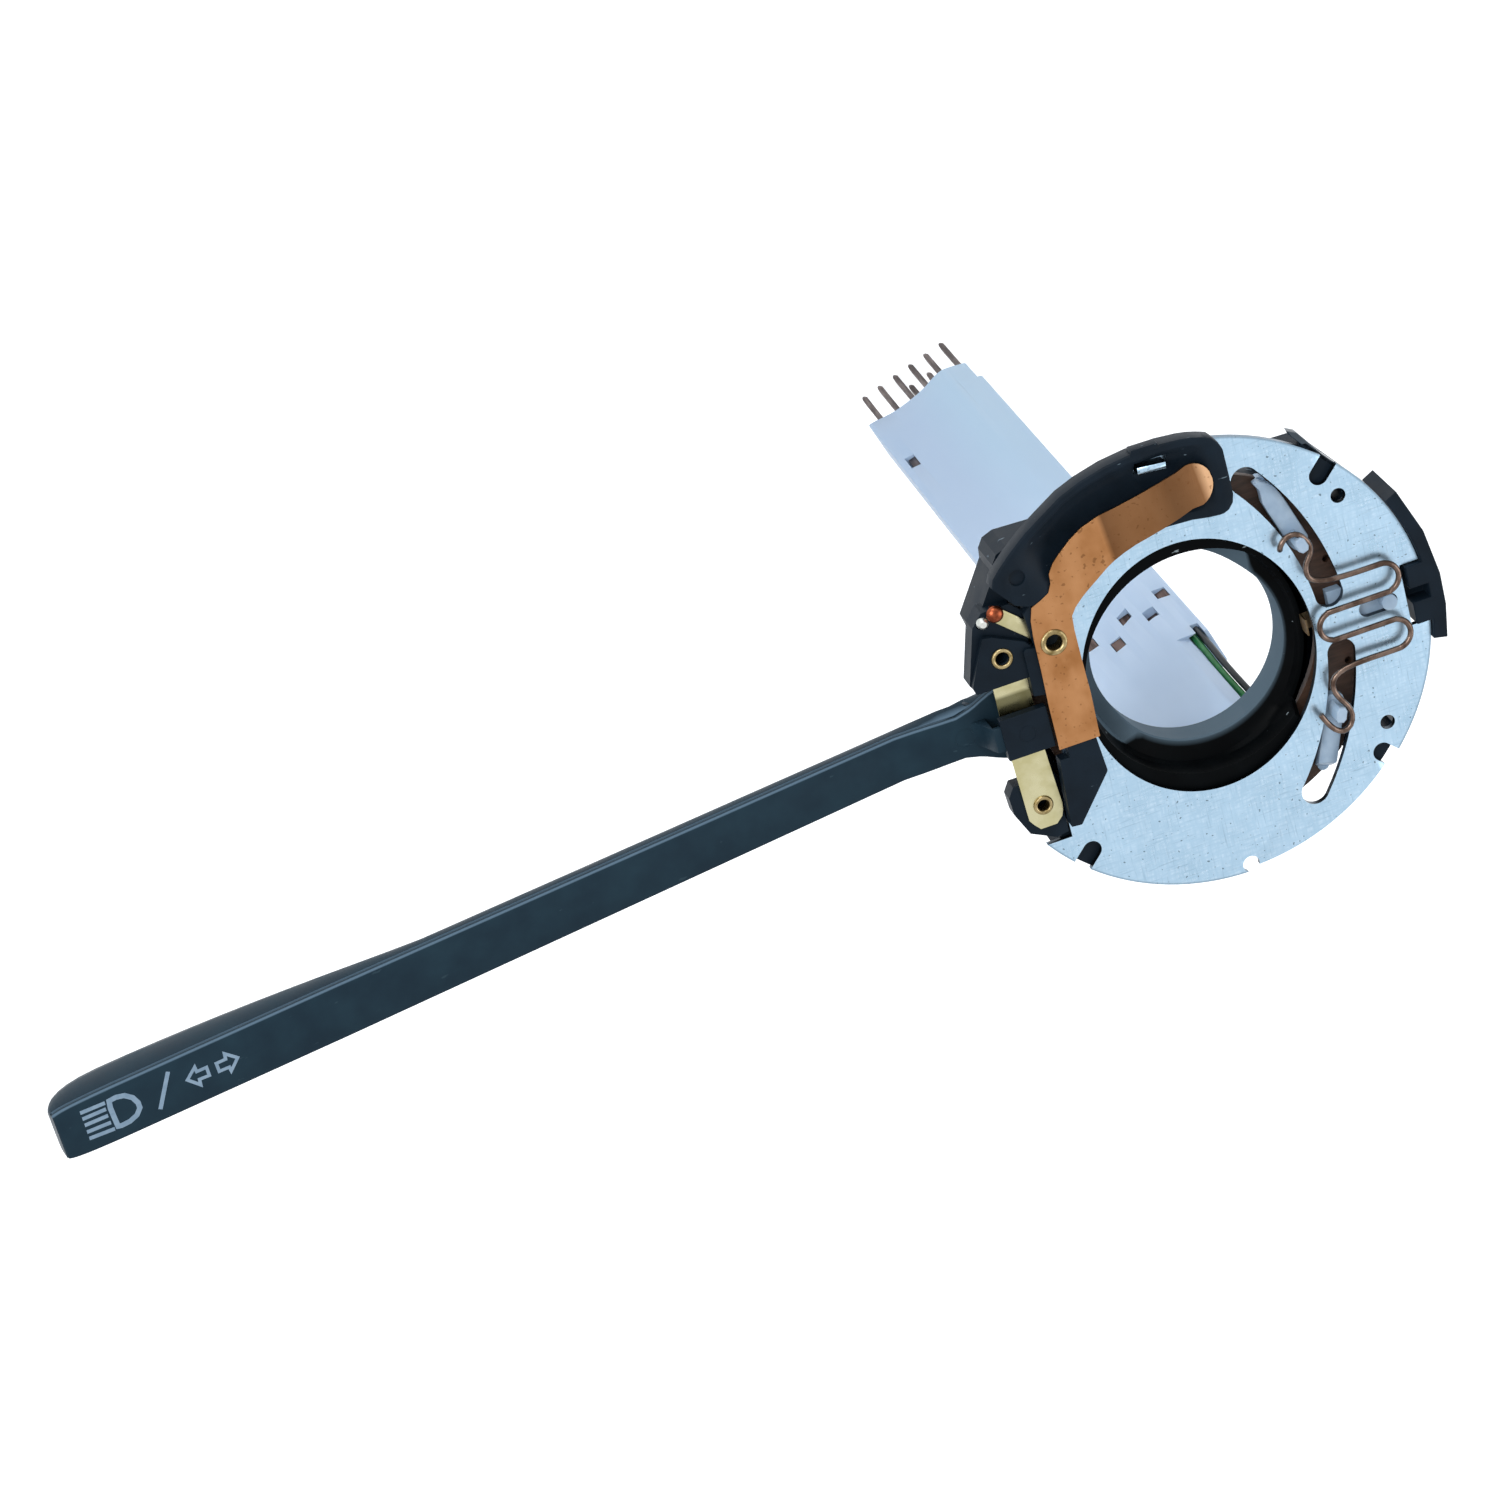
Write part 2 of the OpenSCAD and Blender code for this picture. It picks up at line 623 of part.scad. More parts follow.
module pull_pin() color(steel) translate([-pull_x, fork_w / 2, pull_z]) rotate([90, 0, 0])
    cylinder(h = fork_w, r = pull_pin_d / 2);

// Stalk: forked root on the pull pin, then a bar that leans to the driver and swells to a grip
root_back = stalk_face - root_t;
function stalk_back(s) = s < 0.57 ? stalk_t
    : stalk_t + (grip_t - stalk_t) * sin(90 * min(1, (s - 0.57) / 0.35));
tip_r = 6.5;
module bar_side() {
    n = 14;
    back = [for (i = [0 : n]) let (s = 0.955 * i / n) [-s * stalk_l, -stalk_back(s)]];
    tip = [for (i = [0 : 8]) let (a = 270 - 90 * i / 8)
        [-stalk_l + tip_r + tip_r * cos(a), -grip_t + tip_r + tip_r * sin(a)]];
    polygon(concat([[1.5, 0], [1.5, -stalk_t]], back, tip, [[-stalk_l, -0.8], [-stalk_l + 0.8, 0]]));
}

module bar_front() {
    half = stalk_w / 2;
    mid = grip_w / 2;
    polygon([[2, half], [0, half], [-0.68 * stalk_l, mid], [-0.9 * stalk_l, mid],
        [-stalk_l + 1, half + 0.1], [-stalk_l, half - 0.9], [-stalk_l, -half + 0.9],
        [-stalk_l + 1, -half - 0.1], [-0.9 * stalk_l, -mid], [-0.68 * stalk_l, -mid], [0, -half],
        [2, -half]]);
}

module stalk() color("#243140") difference() {
    union() {
        slab(root_back, stalk_face) polygon([[-bend_x - 0.5, stalk_w / 2], [-50, stalk_w / 2 + 0.1],
            [-47.4, fork_w / 2 - 1.2], [-44.8, fork_w / 2], [-38.4, fork_w / 2],
            [-38.4, -fork_w / 2], [-44.8, -fork_w / 2], [-47.4, -fork_w / 2 + 1.2],
            [-50, -stalk_w / 2 - 0.1], [-bend_x - 0.5, -stalk_w / 2]]);
        translate([-bend_x, 0, stalk_face]) rotate([0, stalk_lean, 0]) intersection() {
            rotate([90, 0, 0]) translate([0, 0, -10]) linear_extrude(20) bar_side();
            slab(-30, 5) bar_front();
        }
    }
    translate([-pull_x - 4.8, -cheek_in, root_back - 5]) cube([20, 2 * cheek_in, 5 + root_t - web_t]);
    pin_bore(pull_pin_d / 2 + run);
}

// Nose on the root of the stalk that reaches over the leaf
module lever_nose() color(plastic) {
    slab(stalk_face, neck_top) translate([-neck_x - neck_l, -3.6]) square([neck_l, 7.2]);
    slab(nose_bottom, neck_top) translate([-neck_x - neck_l, -3.6])
        square([neck_x + neck_l - nose_x - nose_l + e, 7.2]);
    slab(nose_bottom, nose_top) translate([-nose_x - nose_l, -nose_w / 2])
        square([nose_l, nose_w]);
}

// White cancelling pawl: a tapered rod with a knob for the spring and a stub in the carrier
module pawl() color(nylon) {
    k = knob_reach * [cos(knob_angle), sin(knob_angle)];
    t = tail_r * [cos(tail_angle), sin(tail_angle)];
    d = t - k;
    n = [-d[1], d[0]] / norm(d);
    at_pivot() {
        slab(pawl_floor, under_plate) {
            polygon([k + 1.9 * n, k - 1.9 * n, t - 1.6 * n, t + 1.6 * n]);
            translate(k) circle(1.9);
            translate(t) circle(1.6);
        }
        slab(carrier_bottom + 0.1, pawl_floor + e) translate(t) circle(1.1);
        slab(under_plate - e, spring_z + 0.9) translate(k) circle(knob_r);
        slab(under_plate - e, spring_z - spring_wire_d / 2 - 0.3) translate(k) circle(1.6);
    }
}

module pawl_upper() pawl();
module pawl_lower() mirror([0, 1, 0]) pawl();

// Serpentine wire spring that hooks round both knobs
knob_at = [-pivot_x + knob_reach * cos(knob_angle), knob_reach * sin(knob_angle)];
leg_y = 8.6;
turn_r = 2.9;
turn_x = 35;
left_x = 24.4;
hook_r = knob_r + spring_wire_d / 2 + hook_play;
half_path = concat(
    arc_points(knob_at, hook_r, 235, -20, 12),
    [[23.4, 14.1], [22.4, 12.6], [22, 11.2], [22.3, 9.9], [23.3, 9]],
    [[24.8, leg_y]],
    arc_points([turn_x, leg_y - turn_r], turn_r, 90, -90, 9),
    arc_points([left_x, 0], leg_y - 2 * turn_r, 90, 180, 4));
function flip(p) = [for (i = [len(p) - 2 : -1 : 0]) [p[i][0], -p[i][1]]];
module cancelling_spring() color("#7a5a48")
    wire([for (p = concat(half_path, flip(half_path))) [p[0], p[1], spring_z]], spring_wire_d / 2);

// White slider with its guide pin in the oblong slot of the plate
slider_in = pawl_r - pivot_x - 0.4;
module cancel_slider() color(nylon) {
    slab(pawl_floor + 0.05, under_plate) {
        translate([slider_in, -3.4]) square([guide_pin_x + 2.6 - slider_in, 6.8]);
        translate([slider_in, -3.4]) square([2.8, 8.4]);
    }
    slab(under_plate - e, 0.7) translate([guide_pin_x, 0]) circle(guide_pin_r);
}

module detent_ball() color(steel) translate([detent_at[0], detent_at[1], ball_z]) sphere(ball_r);

detent_spring_low = floor_z + floor_t + 0.05 + detent_wire_r;
detent_spring_high = ball_z - ball_r - detent_wire_r;
module detent_spring() color(steel) {
    turns = 4;
    steps = 12 * turns;
    wire([for (i = [0 : steps]) [detent_at[0] + 1.2 * cos(30 * i), detent_at[1] + 1.2 * sin(30 * i),
        detent_spring_low + (detent_spring_high - detent_spring_low) * i / steps]],
        detent_wire_r, sides = 6);
}

// Profile of the white plug, seen along the column, its face towards the column at the top
plug_profile = [[plug_left, -0.9], [plug_left + 0.5, 0], [-15.5, -0.6], [-12.3, -1], [-8, -0.9],
    [-4.5, -0.5], [-1.5, 0.3], [1.1, 0.6], [3.6, 0], [5.4, -0.6],
    [plug_right, -1.2]];
module plug_face_cut(right) translate([0, -plug_face]) intersection() {
    polygon(concat(plug_profile, [[plug_right, -plug_t + 0.9], [plug_right - 0.9, -plug_t],
        [plug_left + 0.9, -plug_t], [plug_left, -plug_t + 0.9]]));
    translate([-50, -50]) square([50 + right, 100]);
}

blade_xs = [for (i = [0 : blade_count - 1]) first_blade + i * blade_pitch];
short_xs = [-5.8, -0.9];
short_y = -plug_face - 6.6;
module at_plug() rotate([0, 0, plug_angle]) children();
module blade_bar(x, y, low, high, extra) translate([x - blade_w / 2 - extra, y - blade_h / 2 - extra, low])
    cube([blade_w + 2 * extra, blade_h + 2 * extra, high - low]);

module plug_body() color(nylon) at_plug() difference() {
    union() {
        slab(-plug_shoulder, floor_z) plug_face_cut(plug_near_right);
        slab(-plug_end + 10, -plug_shoulder) plug_face_cut(plug_right);
        slab(-plug_end, -plug_end + 10) plug_face_cut(plug_right - 0.9);
    }
    for (x = blade_xs) blade_bar(x, blade_y, -plug_end - 1, -blade_root + seat, run);
    for (x = short_xs) blade_bar(x, short_y, -plug_end - 1, -plug_end + 12, run);
    for (i = [0 : blade_count - 1]) translate([blade_xs[i] - window_w / 2, blade_y,
        -(i % 2 == 0 ? window_near : window_far) - window_l / 2]) cube([window_w, 10, window_l]);
    translate([first_blade - window_w / 2 + 0.2, blade_y, -187 - 3.4]) cube([2, 10, 6.8]);
    translate([plug_near_right - 0.1, -plug_face - 3.6, -plug_shoulder - 4]) cube([3.2, 3.1, 5]);
}

// Six stamped rails whose bare ends are the blades
module pointed_blade(x, y, low, high) {
    blade_bar(x, y, low + 2.2, high, 0);
    translate([x, y, low + 2.2]) rotate([90, 0, 0]) linear_extrude(blade_h, center = true)
        polygon([[-blade_w / 2, 0.01], [-0.2, -2.2], [0.2, -2.2], [blade_w / 2, 0.01]]);
}

module plug_blades() color("#7d6258") at_plug() for (x = blade_xs)
    pointed_blade(x, blade_y, -plug_end - blade_out, -blade_root);
module short_blades() color("#7d6258") at_plug() for (x = short_xs)
    pointed_blade(x, short_y, -plug_end - blade_out, -plug_end + 11.8);

// Two leads from the shoulder of the plug to the housing
lead_route = [[4.4, -21.6, -52.6], [4.4, -21.6, -48], [4.4, -21.7, -43], [4.3, -21.9, -38],
    [4.3, -22.3, -33], [4.4, -22.9, -28], [4.6, -23.8, -23], [4.8, -24.8, -18.4]];
lead_gap = 1.35;
module lead(shift) at_plug() wire(concat([for (p = lead_route) p + shift],
    [[lead_route[7][0] + shift[0], lead_route[7][1] - 0.7 + shift[1], floor_z - 0.05]]),
    lead_d / 2, up = [1, 0, 0]);
module lead_green() color("#1f7a3c") lead([0, 0, 0]);
module lead_black() color("#15191c") lead([lead_gap, 0.2, 0]);

base_plate();
housing();
column_sleeve();
contact_board();
board_studs();
guide_shoe();
horn_arm();
horn_strip();
horn_eyelet();
end_block();
leaf_cover();
cover_eyelet();
leaf_spring();
leaf_eyelet();
flash_stud();
contact_bar();
contact_rivet();
silver_contact();
turn_pivot_pin();
carrier();
wiper_contact();
lever_bracket();
pull_pin();
stalk();
lever_nose();
pawl_upper();
pawl_lower();
cancelling_spring();
cancel_slider();
detent_ball();
detent_spring();
plug_body();
plug_blades();
short_blades();
lead_black();
lead_green();
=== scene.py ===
# %% [markdown]
# Indicator stalk switch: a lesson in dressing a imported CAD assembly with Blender.
# The real thing is clamped round a steering column. A zinc-plated plate carries a
# black moulded housing, a copper horn contact, two white cancelling pawls with a wire
# spring, a long stalk that the driver pushes, and a white plug with six blades. The
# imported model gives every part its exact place. This script gives the parts that are
# seen their true surfaces, and replaces those whose real form CAD only hints at.

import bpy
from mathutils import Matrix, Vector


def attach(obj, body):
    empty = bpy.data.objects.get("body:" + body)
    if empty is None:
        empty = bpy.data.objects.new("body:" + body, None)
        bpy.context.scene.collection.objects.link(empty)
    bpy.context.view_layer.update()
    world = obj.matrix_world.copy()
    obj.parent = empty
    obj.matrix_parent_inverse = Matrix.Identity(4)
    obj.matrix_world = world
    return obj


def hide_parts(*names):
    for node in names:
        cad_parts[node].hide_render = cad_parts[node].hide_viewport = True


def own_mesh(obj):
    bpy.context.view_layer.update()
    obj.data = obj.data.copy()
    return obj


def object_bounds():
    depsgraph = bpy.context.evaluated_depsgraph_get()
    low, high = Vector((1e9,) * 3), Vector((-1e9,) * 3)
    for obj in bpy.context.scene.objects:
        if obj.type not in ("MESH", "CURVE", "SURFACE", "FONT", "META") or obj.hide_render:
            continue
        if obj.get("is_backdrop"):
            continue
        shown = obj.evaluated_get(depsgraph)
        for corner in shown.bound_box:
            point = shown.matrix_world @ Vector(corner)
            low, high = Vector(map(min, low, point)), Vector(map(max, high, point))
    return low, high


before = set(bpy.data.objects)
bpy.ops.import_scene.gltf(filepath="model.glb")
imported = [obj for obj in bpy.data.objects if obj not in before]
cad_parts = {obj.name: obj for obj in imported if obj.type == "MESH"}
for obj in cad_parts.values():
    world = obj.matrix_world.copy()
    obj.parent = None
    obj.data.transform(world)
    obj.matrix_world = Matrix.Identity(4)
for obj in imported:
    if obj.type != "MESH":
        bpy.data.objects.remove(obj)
cad_bounds = [list(corner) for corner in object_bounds()]

import math

import bmesh
import bpy
from mathutils import Matrix, Vector

MM = 0.001

# %% [markdown]
# A photograph is matched first of all by its camera. This one looks down on the plate
# from the driver's side, a little from above, through a long lens, so that the plate is
# a wide ellipse and the plug behind it still looks almost straight. The three directions
# of the camera are written as vectors and turned into its matrix, which is easier to
# read than three angles.

# %% Camera
camera = bpy.data.objects.new("camera", bpy.data.cameras.new("camera"))
bpy.context.scene.collection.objects.link(camera)
bpy.context.scene.camera = camera
camera.data.lens = 108
camera.data.sensor_width = 36
camera.data.clip_end = 20
image_right = Vector((0.94085, -0.25210, 0.22650)).normalized()
towards_camera = Vector((-0.10004, 0.43214, 0.89630)).normalized()
image_up = towards_camera.cross(image_right)
camera.matrix_world = Matrix((image_right, image_up, towards_camera)).transposed().to_4x4()
camera.matrix_world.translation = Vector((-0.16181, 0.35507, 0.70867))
print("camera at", [round(x, 3) for x in camera.matrix_world.translation])

# %% [markdown]
# Colours are written as a painter would name them on a screen, in hexadecimal, but the
# renderer works in linear light. One function converts them. A second one adds a shader
# node with its settings and its links in one line, so that a material reads like a list.

# %% Colour and node helpers
def linear(colour):
    """Turns an sRGB hex colour into linear light."""
    values = [int(colour[i:i + 2], 16) / 255 for i in (1, 3, 5)]
    return (*(v / 12.92 if v <= 0.04045 else ((v + 0.055) / 1.055) ** 2.4 for v in values), 1)


def add(tree, kind, inputs=(), **settings):
    """Adds a node. Each input is a value, or the socket that feeds it."""
    made = tree.nodes.new(kind)
    for name, value in settings.items():
        setattr(made, name, value)
    for key, value in dict(inputs).items():
        if isinstance(value, bpy.types.NodeSocket):
            tree.links.new(value, made.inputs[key])
        else:
            made.inputs[key].default_value = value
    return made


print("mid grey in linear light:", [round(x, 3) for x in linear("#808080")[:3]])

# %% [markdown]
# The switch stands on the tips of its blades over a plain white table. The table has to
# be white in the picture without more light falling on the part, so what the camera and
# the mirrors see of it is partly its own glow, and the rest is paint that still takes
# the soft shadow. The world does the same: it lights the part at a plain level, and is
# white only where the camera or a reflection meets it. Light Path tells the two apart.

# %% Floor and world
FLOOR_Z = -0.2374
TABLE_SIZE = 9
TABLE_GLOW = 0.62
WORLD_LIGHT = 0.5


def seen_directly(tree):
    """1 for what the camera, a mirror or a clear piece sees, 0 for what lights the part."""
    ray = add(tree, "ShaderNodeLightPath").outputs
    by_mirror = add(tree, "ShaderNodeMath",
                    {0: ray["Is Glossy Ray"], 1: ray["Is Transmission Ray"]}, operation="MAXIMUM")
    return add(tree, "ShaderNodeMath",
               {0: ray["Is Camera Ray"], 1: by_mirror.outputs[0]}, operation="MAXIMUM").outputs[0]


bpy.ops.object.select_all(action="DESELECT")
bpy.ops.mesh.primitive_plane_add(size=TABLE_SIZE, location=(0, 0, FLOOR_Z))
floor = bpy.context.object
floor.name = "table"
floor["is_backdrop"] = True
paint = bpy.data.materials.new("white_table_paint")
paint.use_nodes = True
tree = paint.node_tree
paint_shader = tree.nodes["Principled BSDF"]
paint_shader.inputs["Base Color"].default_value = linear("#e6eaee")
paint_shader.inputs["Roughness"].default_value = 0.8
glow = add(tree, "ShaderNodeEmission", {"Color": (1, 1, 1, 1), "Strength": TABLE_GLOW})
both = add(tree, "ShaderNodeAddShader", {0: paint_shader.outputs[0], 1: glow.outputs[0]})
mixed = add(tree, "ShaderNodeMixShader",
            {0: seen_directly(tree), 1: paint_shader.outputs[0], 2: both.outputs[0]})
tree.links.new(mixed.outputs[0], tree.nodes["Material Output"].inputs["Surface"])
floor.data.materials.append(paint)

world = bpy.data.worlds.new("studio")
bpy.context.scene.world = world
world.use_nodes = True
tree = world.node_tree
level = add(tree, "ShaderNodeMapRange",
            {"Value": seen_directly(tree), "To Min": WORLD_LIGHT, "To Max": 1.0})
tree.nodes["Background"].inputs["Color"].default_value = (1, 1, 1, 1)
tree.links.new(level.outputs[0], tree.nodes["Background"].inputs["Strength"])
bpy.context.scene.view_settings.view_transform = "Standard"
print("floor at", FLOOR_Z, "m")

# %% [markdown]
# Three big soft boxes light the part, as in a shop's photo tent: one from the upper left
# of the picture, one from the right to open the shadows, and one high up behind the
# part that draws the thin bright lines along its edges.

# %% Soft boxes
LIT_POINT = Vector((-0.03, 0, -0.02))


def soft_box(name, place, size, power):
    bpy.ops.object.select_all(action="DESELECT")
    bpy.ops.object.light_add(type="AREA", location=place)
    lamp = bpy.context.object
    lamp.name = name
    lamp.data.shape = "SQUARE"
    lamp.data.size = size
    lamp.data.energy = power
    lamp.rotation_euler = (Vector(place) - LIT_POINT).to_track_quat("Z", "Y").to_euler()


soft_box("key_box", (-0.75, 0.45, 0.95), 0.7, 7.5)
soft_box("fill_box", (0.9, -0.25, 0.75), 0.8, 4.0)
soft_box("edge_box", (-0.1, 1.1, 0.45), 0.6, 4.0)

# %% [markdown]
# Two leads, 1.3 mm thick, come out of a recess in the shoulder of the plug and go up
# along the column into the housing. They are free cords, so each is a curve with a round
# section along the route of its CAD solid, and its real length is worked out and printed.
# Both ends are held by the object, so the short leads hardly sag. The route is written in
# the plug's own directions, which are turned 18 degrees about the column.

# %% Route of the leads
PLUG_ANGLE = math.radians(18)
PLUG_TURN = Matrix.Rotation(PLUG_ANGLE, 3, "Z")
LEAD_D = 1.3
LEAD_GAP = (1.35, 0.2, 0)
lead_route = [(4.4, -21.6, -52.6), (4.4, -21.6, -48), (4.4, -21.7, -43), (4.3, -21.9, -38),
              (4.3, -22.3, -33), (4.4, -22.9, -28), (4.6, -23.8, -23), (4.8, -24.8, -18.4),
              (4.8, -25.5, -13.45)]


def smooth_line(points, parts=3):
    """More points on a smooth line through the given ones."""
    made = []
    for i in range(len(points) - 1):
        a, b = points[i], points[i + 1]
        before, after = points[max(i - 1, 0)], points[min(i + 2, len(points) - 1)]
        for k in range(parts):
            t = k / parts
            made.append(0.5 * (2 * a + (b - before) * t
                               + (2 * before - 5 * a + 4 * b - after) * t ** 2
                               + (3 * a - before - 3 * b + after) * t ** 3))
    return made + [points[-1]]


def lay_lead(name, shift):
    line = smooth_line([PLUG_TURN @ (Vector(p) + Vector(shift)) * MM for p in lead_route])
    bpy.ops.object.select_all(action="DESELECT")
    curve = bpy.data.curves.new(name, "CURVE")
    curve.dimensions = "3D"
    curve.bevel_depth = LEAD_D / 2 * MM
    curve.bevel_resolution = 4
    curve.use_fill_caps = True
    spline = curve.splines.new("POLY")
    spline.points.add(len(line) - 1)
    for point, place in zip(spline.points, line):
        point.co = (*place, 1)
    lead = bpy.data.objects.new(name, curve)
    bpy.context.scene.collection.objects.link(lead)
    bpy.context.view_layer.objects.active = lead
    lead.select_set(True)
    bpy.ops.object.convert(target="MESH")
    bpy.ops.object.shade_smooth_by_angle(angle=math.radians(50))
    lead = bpy.context.object
    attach(lead, "switch_base")
    length = sum((b - a).length for a, b in zip(line, line[1:]))
    return lead, length


green_lead, green_length = lay_lead("green_wire", (0, 0, 0))
black_lead, black_length = lay_lead("black_wire", LEAD_GAP)
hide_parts("lead_green")
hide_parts("lead_black")
print("leads:", round(green_length * 1000, 1), "mm and", round(black_length * 1000, 1), "mm")

# %% [markdown]
# Every finish starts the same way: a new material, its shader's fixed values, and the
# Object coordinates, which are metres on the real part and stay with it when it moves.
# Most real surfaces also have irregular patches: stains, rubbed places, specks. One
# recipe makes them all as a mask from noise, with the size of the patches in millimetres.
# A second makes a straight mask along one direction, a third lays a colour over another
# through such a mask, and a fourth gives the skin its fine grain.

# %% Finish helpers
def finish(name, colour, values):
    material = bpy.data.materials.new(name)
    material.use_nodes = True
    tree = material.node_tree
    shader = tree.nodes["Principled BSDF"]
    shader.inputs["Base Color"].default_value = linear(colour)
    for socket, value in values.items():
        shader.inputs[socket].default_value = value
    return material, tree, shader, add(tree, "ShaderNodeTexCoord").outputs["Object"]


def patches(tree, place, size, low, high, stretch=(1, 1, 1), turn=0.0, detail=3.0):
    """A mask that is 1 in irregular patches about size mm across, and 0 between them."""
    turned = add(tree, "ShaderNodeMapping",
                 {"Vector": place, "Rotation": (0, 0, turn), "Scale": stretch})
    noise = add(tree, "ShaderNodeTexNoise",
                {"Vector": turned.outputs[0], "Scale": 1 / (size * MM), "Detail": detail})
    return add(tree, "ShaderNodeMapRange",
               {"Value": noise.outputs[0], "From Min": low, "From Max": high}).outputs[0]


def ramp(tree, source, way, low, high):
    """A mask that goes from 0 to 1 as the source, measured along way, goes from low to high."""
    run = add(tree, "ShaderNodeVectorMath", {0: source, 1: way}, operation="DOT_PRODUCT")
    return add(tree, "ShaderNodeMapRange",
               {"Value": run.outputs["Value"], "From Min": low, "From Max": high}).outputs[0]


def over(tree, below, mask, above, amount=1.0):
    """Lays the colour above on what is below where the mask is 1, as strongly as amount says."""
    strength = add(tree, "ShaderNodeMath", {0: mask, 1: amount}, operation="MULTIPLY")
    return add(tree, "ShaderNodeMix", {0: strength.outputs[0], 6: below, 7: linear(above)},
               data_type="RGBA").outputs[2]


def paint_on(tree, shader, colour, mask=None, smooth=0.0, rough=0.0):
    """Gives the shader its colour, and a roughness that follows the mask where there is one."""
    tree.links.new(colour, shader.inputs["Base Color"])
    if mask:
        dull = add(tree, "ShaderNodeMapRange", {"Value": mask, "To Min": smooth, "To Max": rough})
        tree.links.new(dull.outputs[0], shader.inputs["Roughness"])


def fine_skin(tree, shader, place, grain, depth, strength):
    """Roughens the skin with grains of a size and a depth in millimetres."""
    noise = add(tree, "ShaderNodeTexNoise",
                {"Vector": place, "Scale": 1 / (grain * MM), "Detail": 2.0})
    bump = add(tree, "ShaderNodeBump",
               {"Height": noise.outputs[0], "Distance": depth * MM, "Strength": strength})
    tree.links.new(bump.outputs[0], shader.inputs["Normal"])


def tint(material, mask_of, above, amount):
    """Lays one more colour on a finished material. mask_of makes the mask in its tree."""
    tree = material.node_tree
    coordinates = add(tree, "ShaderNodeTexCoord").outputs
    base = tree.nodes["Principled BSDF"].inputs["Base Color"]
    colour = over(tree, base.links[0].from_socket, mask_of(tree, coordinates), above, amount)
    tree.links.new(colour, base)


print("finish helpers ready")

# %% [markdown]
# The plate is cold-rolled steel with a blue-passivated zinc coat. Zinc reads as a pale
# blue mirror gone dull: fully metallic, fairly rough, mottled in patches the size of a
# fingernail, with fine scratches both ways from the tumbling barrel, dark pinholes, a
# dark sheared edge and a duller burr along the rim. Such scratches are about 0.15 mm
# wide, and are drawn about twice as coarse here so that they show.

# %% Zinc-plated steel
RIM_R = 42.55
zinc, tree, shader, place = finish("zinc_plated_steel", "#a9c6dd",
                                   {"Metallic": 1.0, "Roughness": 0.4})
mottle = patches(tree, place, 9, 0.3, 0.7)
grain_x = patches(tree, place, 0.5, 0.38, 0.66, stretch=(0.18, 1, 1), turn=0.2)
grain_y = patches(tree, place, 0.5, 0.38, 0.66, stretch=(1, 0.14, 1), turn=-0.1)
scratch_x = patches(tree, place, 0.34, 0.6, 0.7, stretch=(0.06, 1, 1), turn=0.35)
scratch_y = patches(tree, place, 0.34, 0.6, 0.7, stretch=(1, 0.05, 1), turn=-0.22)
pinholes = patches(tree, place, 0.8, 0.7, 0.74, detail=1)
grain = add(tree, "ShaderNodeMath", {0: grain_x, 1: grain_y}, operation="MULTIPLY").outputs[0]
scratches = add(tree, "ShaderNodeMath",
                {0: scratch_x, 1: scratch_y}, operation="MAXIMUM").outputs[0]
normal = add(tree, "ShaderNodeTexCoord").outputs["Normal"]
facing = add(tree, "ShaderNodeSeparateXYZ", {0: normal}).outputs["Z"]
upright = add(tree, "ShaderNodeMath", {0: facing}, operation="ABSOLUTE").outputs[0]
sheared = add(tree, "ShaderNodeMapRange",
              {"Value": upright, "From Min": 0.75, "From Max": 0.45}).outputs[0]
flat = add(tree, "ShaderNodeVectorMath", {0: place, 1: (1, 1, 0)}, operation="MULTIPLY").outputs[0]
radius = add(tree, "ShaderNodeVectorMath", {0: flat}, operation="LENGTH").outputs["Value"]
burr = add(tree, "ShaderNodeMapRange",
           {"Value": radius, "From Min": RIM_R * MM, "From Max": (RIM_R + 0.3) * MM}).outputs[0]
colour = over(tree, linear("#a9c8df"), mottle, "#b1cfe6")
colour = over(tree, colour, grain, "#c3dcf0")
colour = over(tree, colour, scratches, "#7592a8", 0.3)
colour = over(tree, colour, pinholes, "#46565f", 0.7)
colour = over(tree, colour, sheared, "#39424a")
colour = over(tree, colour, burr, "#6d8496", 0.6)
paint_on(tree, shader, colour, mottle, 0.25, 0.33)
relief = add(tree, "ShaderNodeMath", {0: grain, 1: scratches}, operation="SUBTRACT")
bump = add(tree, "ShaderNodeBump",
           {"Height": relief.outputs[0], "Distance": 0.01 * MM, "Strength": 0.4})
tree.links.new(bump.outputs[0], shader.inputs["Normal"])
print("made", zinc.name)

# %% [markdown]
# The mouldings are glass-filled nylon, dyed black. Its skin shows a little of the glass:
# satin rather than glossy, slightly cloudy, with a grain of about 0.3 mm and stray pale
# scuffs where parts were handled. The stalk is another black plastic, smoother and
# bluer, with a fine spark-eroded grain and a painted highlight along its upper edge.
# The sleeve is painted darker, as shade on its inner wall, and lighter from its lip down,
# as painted light on the lip.

# %% Black mouldings
UP, TO_DRIVER = (0, 1, 0), (0, 0, 1)


def black_moulding(name, base, cloudy, scuff, roughness, grain, shine=0.1):
    material, tree, shader, place = finish(name, base, {"Specular IOR Level": shine,
                                                       "Roughness": roughness})
    clouds = patches(tree, place, 6, 0.3, 0.7)
    scuffs = patches(tree, place, 1.1, 0.735, 0.76, stretch=(0.3, 1, 1), turn=0.7, detail=2)
    colour = over(tree, linear(base), clouds, cloudy)
    colour = over(tree, colour, scuffs, scuff)
    paint_on(tree, shader, colour, clouds, roughness - 0.05, roughness + 0.08)
    fine_skin(tree, shader, place, grain, 0.02, 0.5)
    return material


# A painted highlight: lighter where the face turns up into the upper edge.
def upper_edge(tree, coordinates):
    sideways = ramp(tree, coordinates["Normal"], UP, 0.3, 0.45)
    forward = ramp(tree, coordinates["Normal"], TO_DRIVER, 0.25, 0.4)
    return add(tree, "ShaderNodeMath", {0: sideways, 1: forward}, operation="MULTIPLY").outputs[0]
